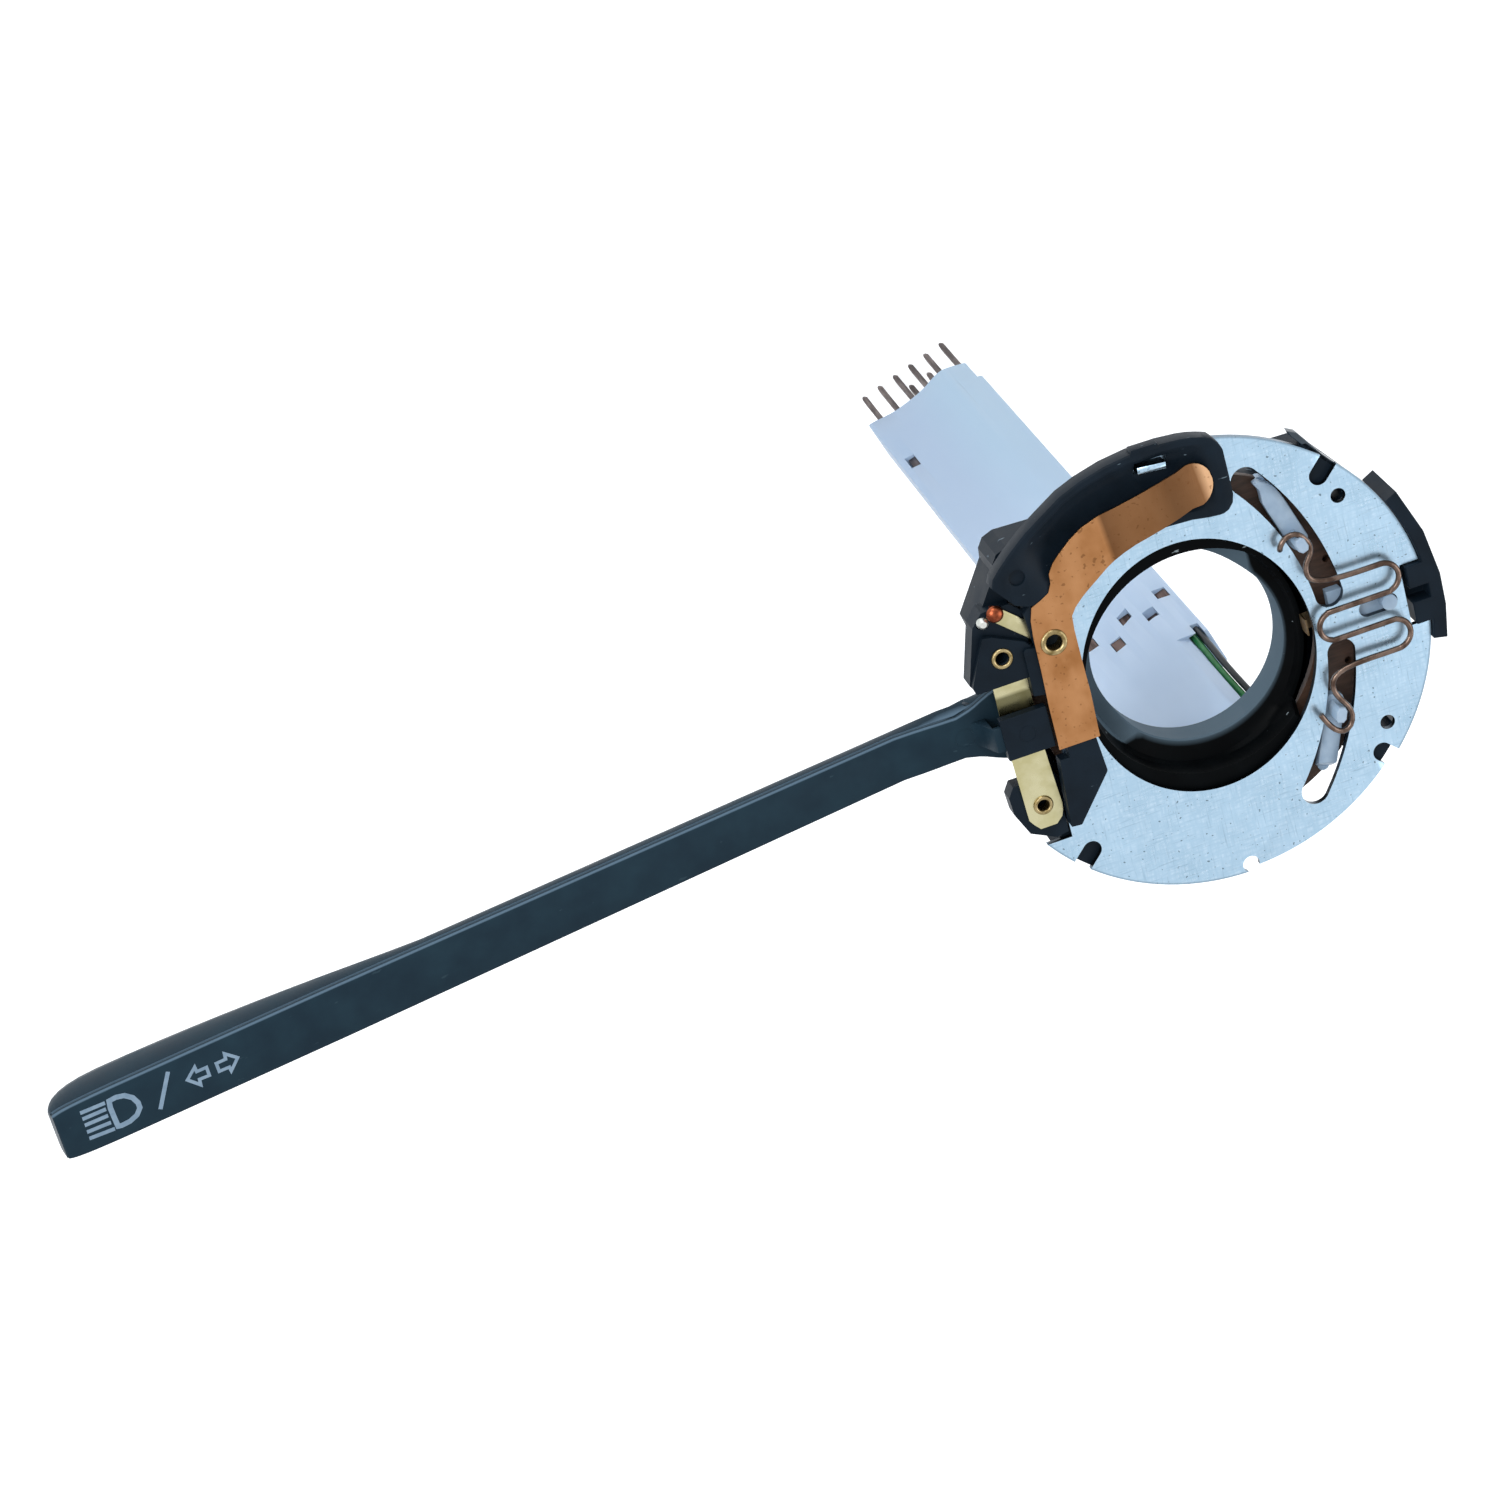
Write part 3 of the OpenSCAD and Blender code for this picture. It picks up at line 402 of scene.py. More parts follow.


# Painted light: from its lip down the sleeve is painted lighter, as light on the lip that faces up.
def lip(tree, coordinates):
    return ramp(tree, coordinates["Object"], TO_DRIVER, -7.3 * MM, -7.7 * MM)


black = black_moulding("glass_filled_nylon", "#0d1720", "#131f2a", "#5f6f7a", 0.45, 0.3)
# The sleeve's copy of the black is painted darker, as shade on its inner wall.
sleeve_black = black_moulding("sleeve_nylon_painted_shade", "#040506", "#080b0d", "#8a969c", 0.4, 0.25, 0.03)
stalk_black = black_moulding("grained_stalk_plastic", "#1c2d39", "#213541", "#2b3e49",
                             0.38, 0.22, 0.07)
# The stalk gets a painted highlight along its upper edge.
tint(stalk_black, upper_edge, "#647c90", 0.75)
# The sleeve is painted lighter from its lip down, as light on the lip.
tint(sleeve_black, lip, "#566875", 1.0)
print("made", black.name, sleeve_black.name, stalk_black.name)

# %% [markdown]
# The carrier and the contact board are punched from paper laminate soaked in phenolic
# resin: dark brown, dull, with paper fibres along the sheet and a lighter cut edge. Its
# paper plies are finer than a millimetre, and a wave pattern draws them along the edge.

# %% Phenolic laminate
phenolic, tree, shader, place = finish("phenolic_paper_laminate", "#33241b",
                                       {"Roughness": 0.55, "Specular IOR Level": 0.35})
fibres = patches(tree, place, 0.8, 0.35, 0.65, stretch=(0.12, 1, 1), turn=0.9)
plies = add(tree, "ShaderNodeTexWave",
            {"Vector": place, "Scale": 1 / (2.4 * MM), "Distortion": 1.5}, bands_direction="Z")
colour = over(tree, linear("#2a1d16"), fibres, "#49342a")
colour = over(tree, colour, plies.outputs["Fac"], "#57402f", 0.3)
paint_on(tree, shader, colour)
print("made", phenolic.name)

# %% [markdown]
# The horn contact is half-hard copper strip, once pickled and now handled: orange metal
# with brown stains a few millimetres across, rubbed bright smears, small dark dots, and
# fine rolling lines along the strip. Its folds run square to one direction, and each
# slope gets its own painted light: painted shade behind the fold, a painted dark
# reflection towards the tip, and a painted highlight on the tip that is turned down.

# %% Copper strip
ALONG_STRIP = (0.994, 0.106, 0)
copper, tree, shader, place = finish("handled_copper", "#b87c50",
                                     {"Metallic": 1.0, "Roughness": 0.34})
stains = patches(tree, place, 8, 0.42, 0.68)
smears = patches(tree, place, 3, 0.45, 0.7, stretch=(1, 0.4, 1), turn=0.5)
dots = patches(tree, place, 0.9, 0.66, 0.72, detail=1)
rolled = patches(tree, place, 0.25, 0.3, 0.7, stretch=(1, 0.04, 1), turn=0.1)
# Painted shade behind the fold, a painted dark reflection towards the tip and a painted highlight
# on the turned-down tip:
past_fold = ramp(tree, place, ALONG_STRIP, -9.8 * MM, -8.8 * MM)
fading = ramp(tree, place, ALONG_STRIP, 4 * MM, -8.8 * MM)
fold_shade = add(tree, "ShaderNodeMath",
                 {0: past_fold, 1: fading}, operation="MULTIPLY").outputs[0]
near_tip = ramp(tree, place, ALONG_STRIP, -8 * MM, 4 * MM)
tip_fold = ramp(tree, place, ALONG_STRIP, 9.4 * MM, 11.2 * MM)
colour = over(tree, linear("#b88458"), stains, "#9a693f")
colour = over(tree, colour, smears, "#c79468", 0.35)
# Painted shade, painted reflection and painted highlight on the slopes:
colour = over(tree, colour, fold_shade, "#5e402a", 0.8)
colour = over(tree, colour, near_tip, "#5a3f2a", 0.85)
colour = over(tree, colour, tip_fold, "#e6bb92", 0.45)
colour = over(tree, colour, dots, "#5e3d22", 0.5)
paint_on(tree, shader, colour, stains, 0.28, 0.42)
bump = add(tree, "ShaderNodeBump", {"Height": rolled, "Distance": 0.008 * MM, "Strength": 0.5})
tree.links.new(bump.outputs[0], shader.inputs["Normal"])
print("made", copper.name)

# %% [markdown]
# The other metals are small, so one recipe serves: a metallic colour with a second tone
# in patches, and a roughness that follows them. Brass is pressed and slightly tarnished,
# with painted shade on the leaf beside the nose. The contact is silver gone milky, the
# wiper is bronze darkened further by painted shade, the spring is wire browned by its
# heat treatment, the fork's pin is blued, the blades are tinned and darkened, and the
# hidden pins are plain ground steel.

# %% Small metals
def small_metal(name, bright, tarnished, roughness, size, stretch=(1, 1, 1)):
    material, tree, shader, place = finish(name, bright, {"Metallic": 1.0,
                                                         "Roughness": roughness})
    film = patches(tree, place, size, 0.38, 0.64, stretch=stretch)
    paint_on(tree, shader, over(tree, linear(bright), film, tarnished), film,
             roughness - 0.06, roughness + 0.1)
    fine_skin(tree, shader, place, 0.3, 0.01, 0.4)
    return material


# Painted shade on the brass leaf beside the nose.
def beside_nose(tree, coordinates):
    below_bend = ramp(tree, coordinates["Object"], UP, 7.9 * MM, 7.1 * MM)
    above_cover = ramp(tree, coordinates["Object"], UP, -3 * MM, -1 * MM)
    return add(tree, "ShaderNodeMath",
               {0: below_bend, 1: above_cover}, operation="MULTIPLY").outputs[0]


brass = small_metal("pressed_brass", "#cfcaa4", "#bbb58a", 0.3, 4)
# The leaf beside the nose gets painted shade.
tint(brass, beside_nose, "#4f4c2a", 0.8)
eyelet_brass = small_metal("eyelet_brass", "#ab9a72", "#74643f", 0.33, 1.5)
# The wiper's bronze is darkened further as painted shade.
shaded_bronze = small_metal("phosphor_bronze_painted_shade", "#9c8668", "#7a654b", 0.4, 1.5)
silver = small_metal("milky_silver", "#dfe1dd", "#b9bdb8", 0.35, 1.5)
spring_steel = small_metal("browned_spring_wire", "#7b695f", "#4c3d35", 0.26, 2.5)
blued_steel = small_metal("blued_steel", "#353e46", "#22282d", 0.45, 1.2)
pin_steel = small_metal("ground_steel", "#c6d0d8", "#9aa6b0", 0.28, 1.2)
tinned = small_metal("darkened_tin", "#5f504c", "#3d3230", 0.42, 1.2, stretch=(1, 1, 0.15))
rivet_copper = small_metal("rivet_copper", "#9a5236", "#6b3422", 0.35, 1.2)
print("made the small metals")

# %% [markdown]
# The plug, the pawls and the slider are natural nylon: milky white with a cold cast,
# satin, letting a little light into its skin. Subsurface scattering does that, with a
# reach of about a millimetre. The plug also shows faint flow marks from its mould, is
# a little darker towards its far end, and there it is greener towards its right side.

# %% White nylon
ACROSS_PLUG = (0.951, 0.309, 0)


def white_nylon(name, base, shade, reach, flow):
    material, tree, shader, place = finish(name, base, {
        "Roughness": 0.42, "Subsurface Weight": 0.25, "Subsurface Scale": reach * MM,
        "Subsurface Radius": (1.0, 1.1, 1.2)})
    flow_marks = patches(tree, place, flow, 0.35, 0.68, stretch=(1, 1, 0.3))
    far = ramp(tree, place, TO_DRIVER, -70 * MM, -170 * MM)
    ribbed = ramp(tree, place, ACROSS_PLUG, -11 * MM, -1 * MM)
    far_ribs = add(tree, "ShaderNodeMath", {0: ribbed, 1: far}, operation="MULTIPLY").outputs[0]
    colour = over(tree, linear(base), flow_marks, shade)
    colour = over(tree, colour, far, "#9fb6d1", 0.9)
    colour = over(tree, colour, far_ribs, "#a3c4da", 0.55)
    paint_on(tree, shader, colour)
    fine_skin(tree, shader, place, 0.6, 0.01, 0.4)
    return material


plug_nylon = white_nylon("plug_nylon", "#b9cfe9", "#abc2dd", 0.8, 14)
pawl_nylon = white_nylon("pawl_nylon", "#a5bbd0", "#90a8c0", 1.2, 3)
print("made", plug_nylon.name, pawl_nylon.name)

# %% [markdown]
# The leads have soft PVC insulation, slightly waxy, and the symbols on the stalk are
# pad-printed in pale blue-grey ink, a thin and slightly uneven film. Both are one dull
# colour with a second tone in patches of a millimetre or two.

# %% Insulation and ink
def thin_film(name, base, second, roughness):
    material, tree, shader, place = finish(name, base, {"Roughness": roughness,
                                                       "Specular IOR Level": 0.2})
    tone = patches(tree, place, 1.5, 0.35, 0.65)
    paint_on(tree, shader, over(tree, linear(base), tone, second))
    return material


green_pvc = thin_film("green_pvc", "#196630", "#27783e", 0.38)
black_pvc = thin_film("black_pvc", "#0d1114", "#171d21", 0.38)
ink = thin_film("pad_printed_ink", "#7890a6", "#869db2", 0.5)
green_lead.data.materials.append(green_pvc)
black_lead.data.materials.append(black_pvc)
print("made", ink.name)

# %% [markdown]
# Parts whose CAD shape is already right stay. CAD edges are perfectly sharp, though, and
# no pressed or moulded edge is: a Weld modifier joins the triangles, and a Bevel takes
# off a tenth of a millimetre or two, which is what catches the light. Modifiers do it
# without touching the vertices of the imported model.

# %% Dress the CAD parts
def add_bevel(piece, name, width, angle, crisp):
    """Rounds the edges sharper than angle. crisp keeps the faces beside them flat."""
    edge = piece.modifiers.new(name, "BEVEL")
    edge.width = width * MM
    edge.segments = 2
    edge.limit_method = "ANGLE"
    edge.angle_limit = math.radians(angle)
    edge.harden_normals = crisp


def dress(name, material, round_off):
    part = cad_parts[name]
    for slot in part.material_slots:
        slot.material = material
    weld = part.modifiers.new("Weld", "WELD")
    weld.merge_threshold = 1e-6
    if round_off:
        add_bevel(part, "Bevel", round_off, 35, True)


for name, material, round_off in [
        ("housing", black, 0.2), ("contact_board", phenolic, 0), ("board_studs", brass, 0),
        ("guide_shoe", black, 0.25), ("end_block", black, 0.2), ("leaf_cover", black, 0.18),
        ("flash_stud", brass, 0), ("turn_pivot_pin", pin_steel, 0.15),
        ("carrier", phenolic, 0.1), ("wiper_contact", shaded_bronze, 0),
        ("lever_bracket", black, 0.2), ("cancel_slider", pawl_nylon, 0.2),
        ("detent_ball", pin_steel, 0), ("detent_spring", pin_steel, 0)]:
    dress(name, material, round_off)
print("dressed", sum(1 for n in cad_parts.values() if "Weld" in n.modifiers), "CAD parts")

# %% [markdown]
# The other visible parts are modelled. Two ways of drawing cover nearly all of them. A
# bar, strip or wire starts as a small filled circle whose corners are grabbed into the
# shape of its section, and its end face is then extruded from station to station. A
# round part starts as one corner, drawn out along half a section and spun.

# %% Drawing helpers
TINY = 1e-7


def only(piece):
    bpy.ops.object.select_all(action="DESELECT")
    piece.select_set(True)
    bpy.context.view_layer.objects.active = piece


def draw_through(name, rings, closed=False):
    """Extrudes the first ring through the others. closed joins the last one to the first."""
    bpy.ops.object.select_all(action="DESELECT")
    bpy.ops.mesh.primitive_circle_add(vertices=len(rings[0]), radius=MM, fill_type="NGON")
    piece = bpy.context.object
    piece.name = name
    bpy.ops.object.mode_set(mode="EDIT")
    bpy.ops.mesh.select_mode(type="FACE")
    bpy.ops.mesh.select_all(action="SELECT")
    shape = bmesh.from_edit_mesh(piece.data)
    for corner, spot in zip(list(shape.verts), rings[0]):
        corner.co = spot
    for last, ring in zip(rings, rings[1:]):
        bmesh.update_edit_mesh(piece.data)
        bpy.ops.mesh.extrude_region_move()
        shape = bmesh.from_edit_mesh(piece.data)
        for corner in [v for v in shape.verts if v.select]:
            nearest = min(range(len(last)), key=lambda i: (corner.co - last[i]).length_squared)
            corner.co = ring[nearest]
    if closed:
        middle = sum(rings[0], Vector()) / len(rings[0])
        for face in shape.faces:
            face.select = (face.calc_center_median() - middle).length < TINY
        bmesh.update_edit_mesh(piece.data)
        bpy.ops.mesh.delete(type="ONLY_FACE")
    bpy.ops.mesh.select_all(action="SELECT")
    if closed:
        bpy.ops.mesh.remove_doubles(threshold=TINY)
    bpy.ops.mesh.normals_make_consistent(inside=False)
    bpy.ops.object.mode_set(mode="OBJECT")
    return piece


def spin_profile(name, at, profile, steps=40):
    """Spins a profile of (radius, height) in mm about an upright axis at (x, y)."""
    centre = Vector((at[0], at[1], 0)) * MM
    bpy.ops.object.select_all(action="DESELECT")
    bpy.ops.mesh.primitive_plane_add(size=MM)
    piece = bpy.context.object
    piece.name = name
    bpy.ops.object.mode_set(mode="EDIT")
    bpy.ops.mesh.select_mode(type="VERT")
    bpy.ops.mesh.select_all(action="SELECT")
    bpy.ops.mesh.merge(type="CENTER")
    for i, (radius, height) in enumerate(profile):
        if i:
            bpy.ops.mesh.extrude_vertices_move()
        shape = bmesh.from_edit_mesh(piece.data)
        for corner in [v for v in shape.verts if v.select]:
            corner.co = centre + Vector((radius, 0, height)) * MM
        bmesh.update_edit_mesh(piece.data)
    bpy.ops.mesh.select_all(action="SELECT")
    bpy.ops.mesh.spin(steps=steps, angle=math.tau, center=centre, axis=(0, 0, 1))
    bpy.ops.mesh.select_all(action="SELECT")
    bpy.ops.mesh.remove_doubles(threshold=1e-6)
    bpy.ops.mesh.normals_make_consistent(inside=False)
    bpy.ops.object.mode_set(mode="OBJECT")
    return piece


print("drawing helpers ready")

# %% [markdown]
# At the end each piece gets soft edges, smooth shading, its finish and the body that
# carries it. A large flat face next to a rounded edge takes a false gradient unless its
# normals are held flat, so crisp pieces are smoothed first and bevelled after.

# %% Handing over
def soften_edges(piece, width, angle, crisp=False):
    add_bevel(piece, "Soft", width, angle, crisp)
    if crisp:
        bpy.ops.object.shade_smooth_by_angle(angle=math.radians(angle))
    bpy.ops.object.modifier_apply(modifier="Soft")


def hand_over(piece, body, material, replaced=(), soften=0.0, angle=35, crisp=False):
    """Soft edges, smooth shading, the finish and the body that carries the piece."""
    only(piece)
    bpy.ops.object.transform_apply(location=True, rotation=True, scale=True)
    if soften:
        soften_edges(piece, soften, angle, crisp)
    if not (soften and crisp):
        bpy.ops.object.shade_smooth_by_angle(angle=math.radians(angle))
    piece.data.materials.clear()
    piece.data.materials.append(material)
    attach(piece, body)
    if replaced:
        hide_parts(*replaced)
    print(piece.name, "has", len(piece.data.polygons), "faces")


print("finishing helpers ready")

# %% [markdown]
# The plate's large hole is pierced oval, 43.8 by 49.2 mm, where the CAD plate has a
# plain round hole of 45.4 mm. So a thin ring is joined to a copy of the CAD plate, which
# keeps all its slots, and the oval is cut out of it with a Boolean.

# %% Plate
HOLE_X0, HOLE_A, HOLE_B = -0.8, 21.9, 24.6
RING_IN, RING_OUT, PLATE_T = 19, 23.1, 1.2


def copy_of(node, name):
    """A copy of a CAD part's mesh, with its triangles joined."""
    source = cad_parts[node]
    piece = bpy.data.objects.new(name, source.data.copy())
    bpy.context.scene.collection.objects.link(piece)
    piece.matrix_world = source.matrix_world
    only(piece)
    bpy.ops.object.mode_set(mode="EDIT")
    bpy.ops.mesh.select_all(action="SELECT")
    bpy.ops.mesh.remove_doubles(threshold=1e-6)
    bpy.ops.object.mode_set(mode="OBJECT")
    return piece


def carve(piece, tool, operation="DIFFERENCE"):
    """Takes the tool away from the piece, or joins it on, and deletes the tool."""
    only(piece)
    cut = piece.modifiers.new("Carve", "BOOLEAN")
    cut.operation = operation
    cut.object = tool
    cut.solver = "EXACT"
    bpy.ops.object.modifier_apply(modifier="Carve")
    bpy.data.objects.remove(tool)


def drum(at, radii, low, high, steps):
    """An upright solid cylinder, round or oval, to cut with."""
    bpy.ops.object.select_all(action="DESELECT")
    bpy.ops.mesh.primitive_cylinder_add(vertices=steps, radius=1, depth=1,
                                        location=Vector((*at, (low + high) / 2)) * MM)
    made = bpy.context.object
    made.scale = Vector((*radii, high - low)) * MM
    bpy.ops.object.transform_apply(location=True, rotation=True, scale=True)
    return made


plate = copy_of("base_plate", "zinc_plate")
ring = spin_profile("hole_ring", (0, 0), [(RING_IN, -PLATE_T), (RING_OUT, -PLATE_T), (RING_OUT, 0),
                                          (RING_IN, 0), (RING_IN, -PLATE_T)], 90)
carve(plate, ring, "UNION")
carve(plate, drum((HOLE_X0, 0), (HOLE_A, HOLE_B), -3, 3, 120))
hand_over(plate, "switch_base", zinc, ["base_plate"], soften=0.1, crisp=True)

# %% [markdown]
# Through the hole one looks into the sleeve: a smooth black funnel that comes down from
# the oval hole to the round lip on the column tube, and keeps clear of the carrier. At
# the right, beside the contacts, it is cut away to a lower step, and towards the upper
# left its lip is low. A spin can't make a form that isn't round, so every level is a
# loop between the round lip and the oval, and the outside goes back down half a
# millimetre farther out.

# %% Sleeve
SLEEVE_STEPS, SLEEVE_WALL = 96, 0.5
LIP_R, LIP_FOOT, LIP_TOP = 17.5, -13.4, -6.5
SLEEVE_R, UNDER_PLATE = 21.7, -1.3
HOLE_GAP = 0.3
STEP_Z, STEP_REACH = -5.8, 0.77
LOW_SIDE, LOWERED = math.radians(131), 0.92


def sleeve_level(z, oval, out=0.0):
    """A loop at height z, round where oval is 0 and like the hole where it is 1, out mm larger."""
    loop = []
    for i in range(SLEEVE_STEPS):
        a = math.tau * (i + 0.5) / SLEEVE_STEPS
        x = (1 - oval) * LIP_R * math.cos(a) + oval * (HOLE_X0 + (HOLE_A - HOLE_GAP) * math.cos(a))
        y = (1 - oval) * LIP_R * math.sin(a) + oval * (HOLE_B - HOLE_GAP) * math.sin(a)
        x, y = x + out * math.cos(a), y + out * math.sin(a)
        tuck = min(1, (SLEEVE_R + out) / math.hypot(x, y)) if z < UNDER_PLATE else 1
        side = min(max((math.cos(a - LOW_SIDE) + 0.1) / 0.6, 0), 1)
        low = 1 - LOWERED * side * side * (3 - 2 * side)
        height = LIP_FOOT + (z - LIP_FOOT) * low if z < LIP_TOP else z
        height = min(height, STEP_Z) if math.cos(a) > STEP_REACH else height
        loop.append(Vector((x * tuck, y * tuck, height)) * MM)
    return loop


inside = [(LIP_FOOT, 0), (-8, 0), (-7.5, 0.05), (-7.1, 0.32), (-6.7, 0.56), (-5.9, 0.7),
          (-4.4, 0.83), (-2.8, 0.94), (-1.4, 1), (-1.25, 1)]
levels = [sleeve_level(z, oval) for z, oval in inside]
levels += [sleeve_level(z - 0.02, oval, SLEEVE_WALL) for z, oval in reversed(inside[1:])]
levels += [sleeve_level(LIP_FOOT, 0, SLEEVE_WALL), sleeve_level(LIP_FOOT, 0)]
sleeve = draw_through("sleeve_funnel", levels, closed=True)
hand_over(sleeve, "switch_base", sleeve_black, ["column_sleeve"], angle=30)

# %% [markdown]
# The stalk is the part that everyone knows. From the fork on its pull pin it narrows to a
# neck, bends towards the driver and runs straight for 160 mm. Its front is a flat facia
# with softened edges. Behind a fine parting groove the back is a rounded shell that
# swells into the grip near the end. Each section is worked out from its distance along
# the bar, so the whole form comes from one row of stations.

# %% Sections of the stalk
LEAN = math.radians(11.2)
ROOT_Z = -3.8
BEND = Vector((-57, 0, ROOT_Z))
ALONG = Vector((-math.cos(LEAN), 0, math.sin(LEAN)))
FACE = Vector((math.sin(LEAN), 0, math.cos(LEAN)))
STALK_L = 162.6
GROOVE = 0.4


def stalk_section(centre, out, half, deep, edge=0.6, flare=0.0):
    """22 corners: a flat face with soft edges, a groove on each side, and a full back."""
    corners = [(half - edge, 0), (half - 0.22, 0.14), (half, edge), (half, 0.85),
               (half - GROOVE, 0.95), (half - GROOVE, 1.4), (half - 0.02, 1.5)]
    for step in range(1, 5):
        a = math.radians(18 * step)
        belly = half - 0.02 + (flare + 0.1 * max(deep - 5, 0)) * min(1, 1.6 * math.sin(a))
        corners.append((belly * math.cos(a) ** 0.3, 1.5 + (deep - 1.5) * math.sin(a) ** 0.75))
    corners += [(0, deep)] + [(-across, down) for across, down in reversed(corners)]
    side = Vector((0, 1, 0))
    return [(centre + side * across - out * down) * MM for across, down in corners]


def stalk_station(s):
    """Half the width and the depth of the bar at s mm beyond its bend."""
    part = s / STALK_L
    half = 4.4 + 0.7 * min(1, part / 0.68) if part < 0.9 else 5.1
    swell = math.sin(math.radians(90 * min(1, (part - 0.57) / 0.35)))
    return half, 5.0 if part < 0.57 else 5.0 + 5.5 * swell


print("the stalk leans", round(math.degrees(LEAN), 1), "degrees")

# %% [markdown]
# The row of stations has three parts: the flared root behind the bend, the bar with its
# grip, and the rounded tip, where the sections shrink quickly. At the bend the section
# stands halfway between the two directions, like a mitre. The fork is a slot in the
# root, cut with a box, and a blued pin goes through it.

# %% Stalk
PULL_PIN = (-42, -6.6)
PIN_R, PIN_HALF, PIN_STEPS = 1.1, 5.3, 20


def box(at, size, turn=0.0):
    """A box turned about the upright, to cut with. Its place and size are in mm."""
    bpy.ops.object.select_all(action="DESELECT")
    bpy.ops.mesh.primitive_cube_add(size=1)
    made = bpy.context.object
    made.scale = [length * MM for length in size]
    made.rotation_euler = (0, 0, turn)
    made.location = at * MM
    bpy.ops.object.transform_apply(location=True, rotation=True, scale=True)
    return made


rings = [stalk_section(Vector((x, 0, ROOT_Z)), Vector((0, 0, 1)), half, deep, flare=flare)
         for x, half, deep, flare in (
             (-37.4, 7.1, 5.2, 0), (-38.6, 6.7, 5.2, 0), (-40.2, 6.0, 5.2, 0),
             (-41.5, 5.35, 5.2, 0.5), (-42.8, 4.85, 5.2, 1.0), (-45.3, 4.2, 5.2, 1.2),
             (-48, 4.25, 5.15, 1.1), (-51, 4.35, 5.1, 0.7), (-53.5, 4.4, 5.1, 0.4))]
mitre = (FACE + Vector((0, 0, 1))).normalized()
rings.append(stalk_section(BEND, mitre, stalk_station(0)[0], 5.05))
for s in (6, 20, 40, 60, 80, 92, 98, 104, 110, 116, 122, 128, 134, 140, 146, 151.5):
    rings.append(stalk_section(BEND + ALONG * s, FACE, *stalk_station(s)))
for s, half, deep in ((155, 5.06, 10.2), (157.4, 5.0, 9.6), (159.3, 4.92, 8.7),
                      (160.8, 4.8, 7.5), (161.7, 4.66, 6.3), (162.3, 4.5, 5.1)):
    rings.append(stalk_section(BEND + ALONG * s, FACE, half, deep))
end = stalk_section(BEND + ALONG * STALK_L, FACE, 4.15, 3.9, edge=0.3)
rings.append([corner - FACE * 0.35 * MM for corner in end])
stalk_bar = draw_through("stalk_bar", rings)
carve(stalk_bar, box(Vector((-36.8, 0, -7.9)), (20, 7.8, 6.0)))
hand_over(stalk_bar, "lever", stalk_black, ["stalk"], soften=0.12, angle=28)

turns = [math.tau * i / PIN_STEPS for i in range(PIN_STEPS)]
pin_ends = [[Vector((PULL_PIN[0] + PIN_R * math.cos(a), y, PULL_PIN[1] + PIN_R * math.sin(a))) * MM
             for a in turns] for y in (-PIN_HALF, PIN_HALF)]
hand_over(draw_through("fork_pin", pin_ends), "turn_carrier", blued_steel,
          ["pull_pin"], soften=0.15)

# %% [markdown]
# In front of the pin a short neck climbs from the stalk's face to the nose, the flat
# block that presses the brass leaf. Both are bars drawn along the stalk, from stations
# that give half the width, the bottom and the top.

# %% Nose and neck
NOSE_TOP = 3.0


def bar_through(name, stations):
    return draw_through(name, [[Vector((x, y, z)) * MM for y, z in (
        (-half, low), (half, low), (half, top), (-half, top))] for x, half, low, top in stations])


neck = bar_through("nose_neck", [
    (-43.0, 2.2, -4.3, -3.85), (-42.3, 2.35, -4.3, -3.2), (-41.5, 2.4, -4.3, -1.4),
    (-40.9, 2.4, -4.2, 0.4), (-40.4, 2.4, -3.8, 1.6), (-40.25, 2.4, 1.15, 1.8),
    (-38.7, 2.4, 1.15, 2.2)])
nose = bar_through("nose_block", [(-39.0, 4.1, 1.05, NOSE_TOP), (-30.2, 4.1, 1.05, NOSE_TOP)])
hand_over(nose, "lever", black, ["lever_nose"], soften=0.2, crisp=True)
hand_over(neck, "lever", stalk_black, soften=0.15)

# %% [markdown]
# The symbols on the grip are the standard ones for main beam and for the indicators. A
# band with the section of the ink film is drawn round each outline, and a bar is a
# rectangle as thick as the film. They are modelled rather than painted, so that they stay
# sharp in any view.

# %% Ink helpers
INK = 0.04


def join(name, *pieces):
    only(pieces[0])
    for piece in pieces[1:]:
        piece.select_set(True)
    bpy.ops.object.join()
    pieces[0].name = name
    return pieces[0]


def on_face(s, y, height):
    return (BEND + ALONG * s + Vector((0, y, 0)) + FACE * height) * MM


def outline(name, points, width):
    """A closed band of ink just inside the outline, mitred at its corners."""
    area = sum(a[0] * b[1] - b[0] * a[1] for a, b in zip(points, points[1:] + points[:1]))
    points = [Vector(p) for p in (points if area > 0 else reversed(points))]
    rings = []
    for i, here in enumerate(points):
        before = (here - points[i - 1]).normalized()
        after = (points[(i + 1) % len(points)] - here).normalized()
        square = Vector((-before.y, before.x))
        inward = (square + Vector((-after.y, after.x))).normalized()
        inner = here + inward * width / max(inward.dot(square), 0.4)
        rings.append([on_face(*here, 0), on_face(*inner, 0), on_face(*inner, INK),
                      on_face(*here, INK)])
    return draw_through(name, rings + rings[:1], closed=True)


def bar_of_ink(name, a, b, width):
    a, b = Vector(a), Vector(b)
    n = Vector((a.y - b.y, b.x - a.x)).normalized() * width / 2
    return draw_through(name, [[on_face(*p, height) for p in (a + n, a - n, b - n, b + n)]
                               for height in (0, INK)])


print("ink film of", INK, "mm")

# %% [markdown]
# The places of the symbols are distances from the stalk's bend and across its face. The
# lamp has five beams, a slash stands between the symbols, and two arrows point apart.

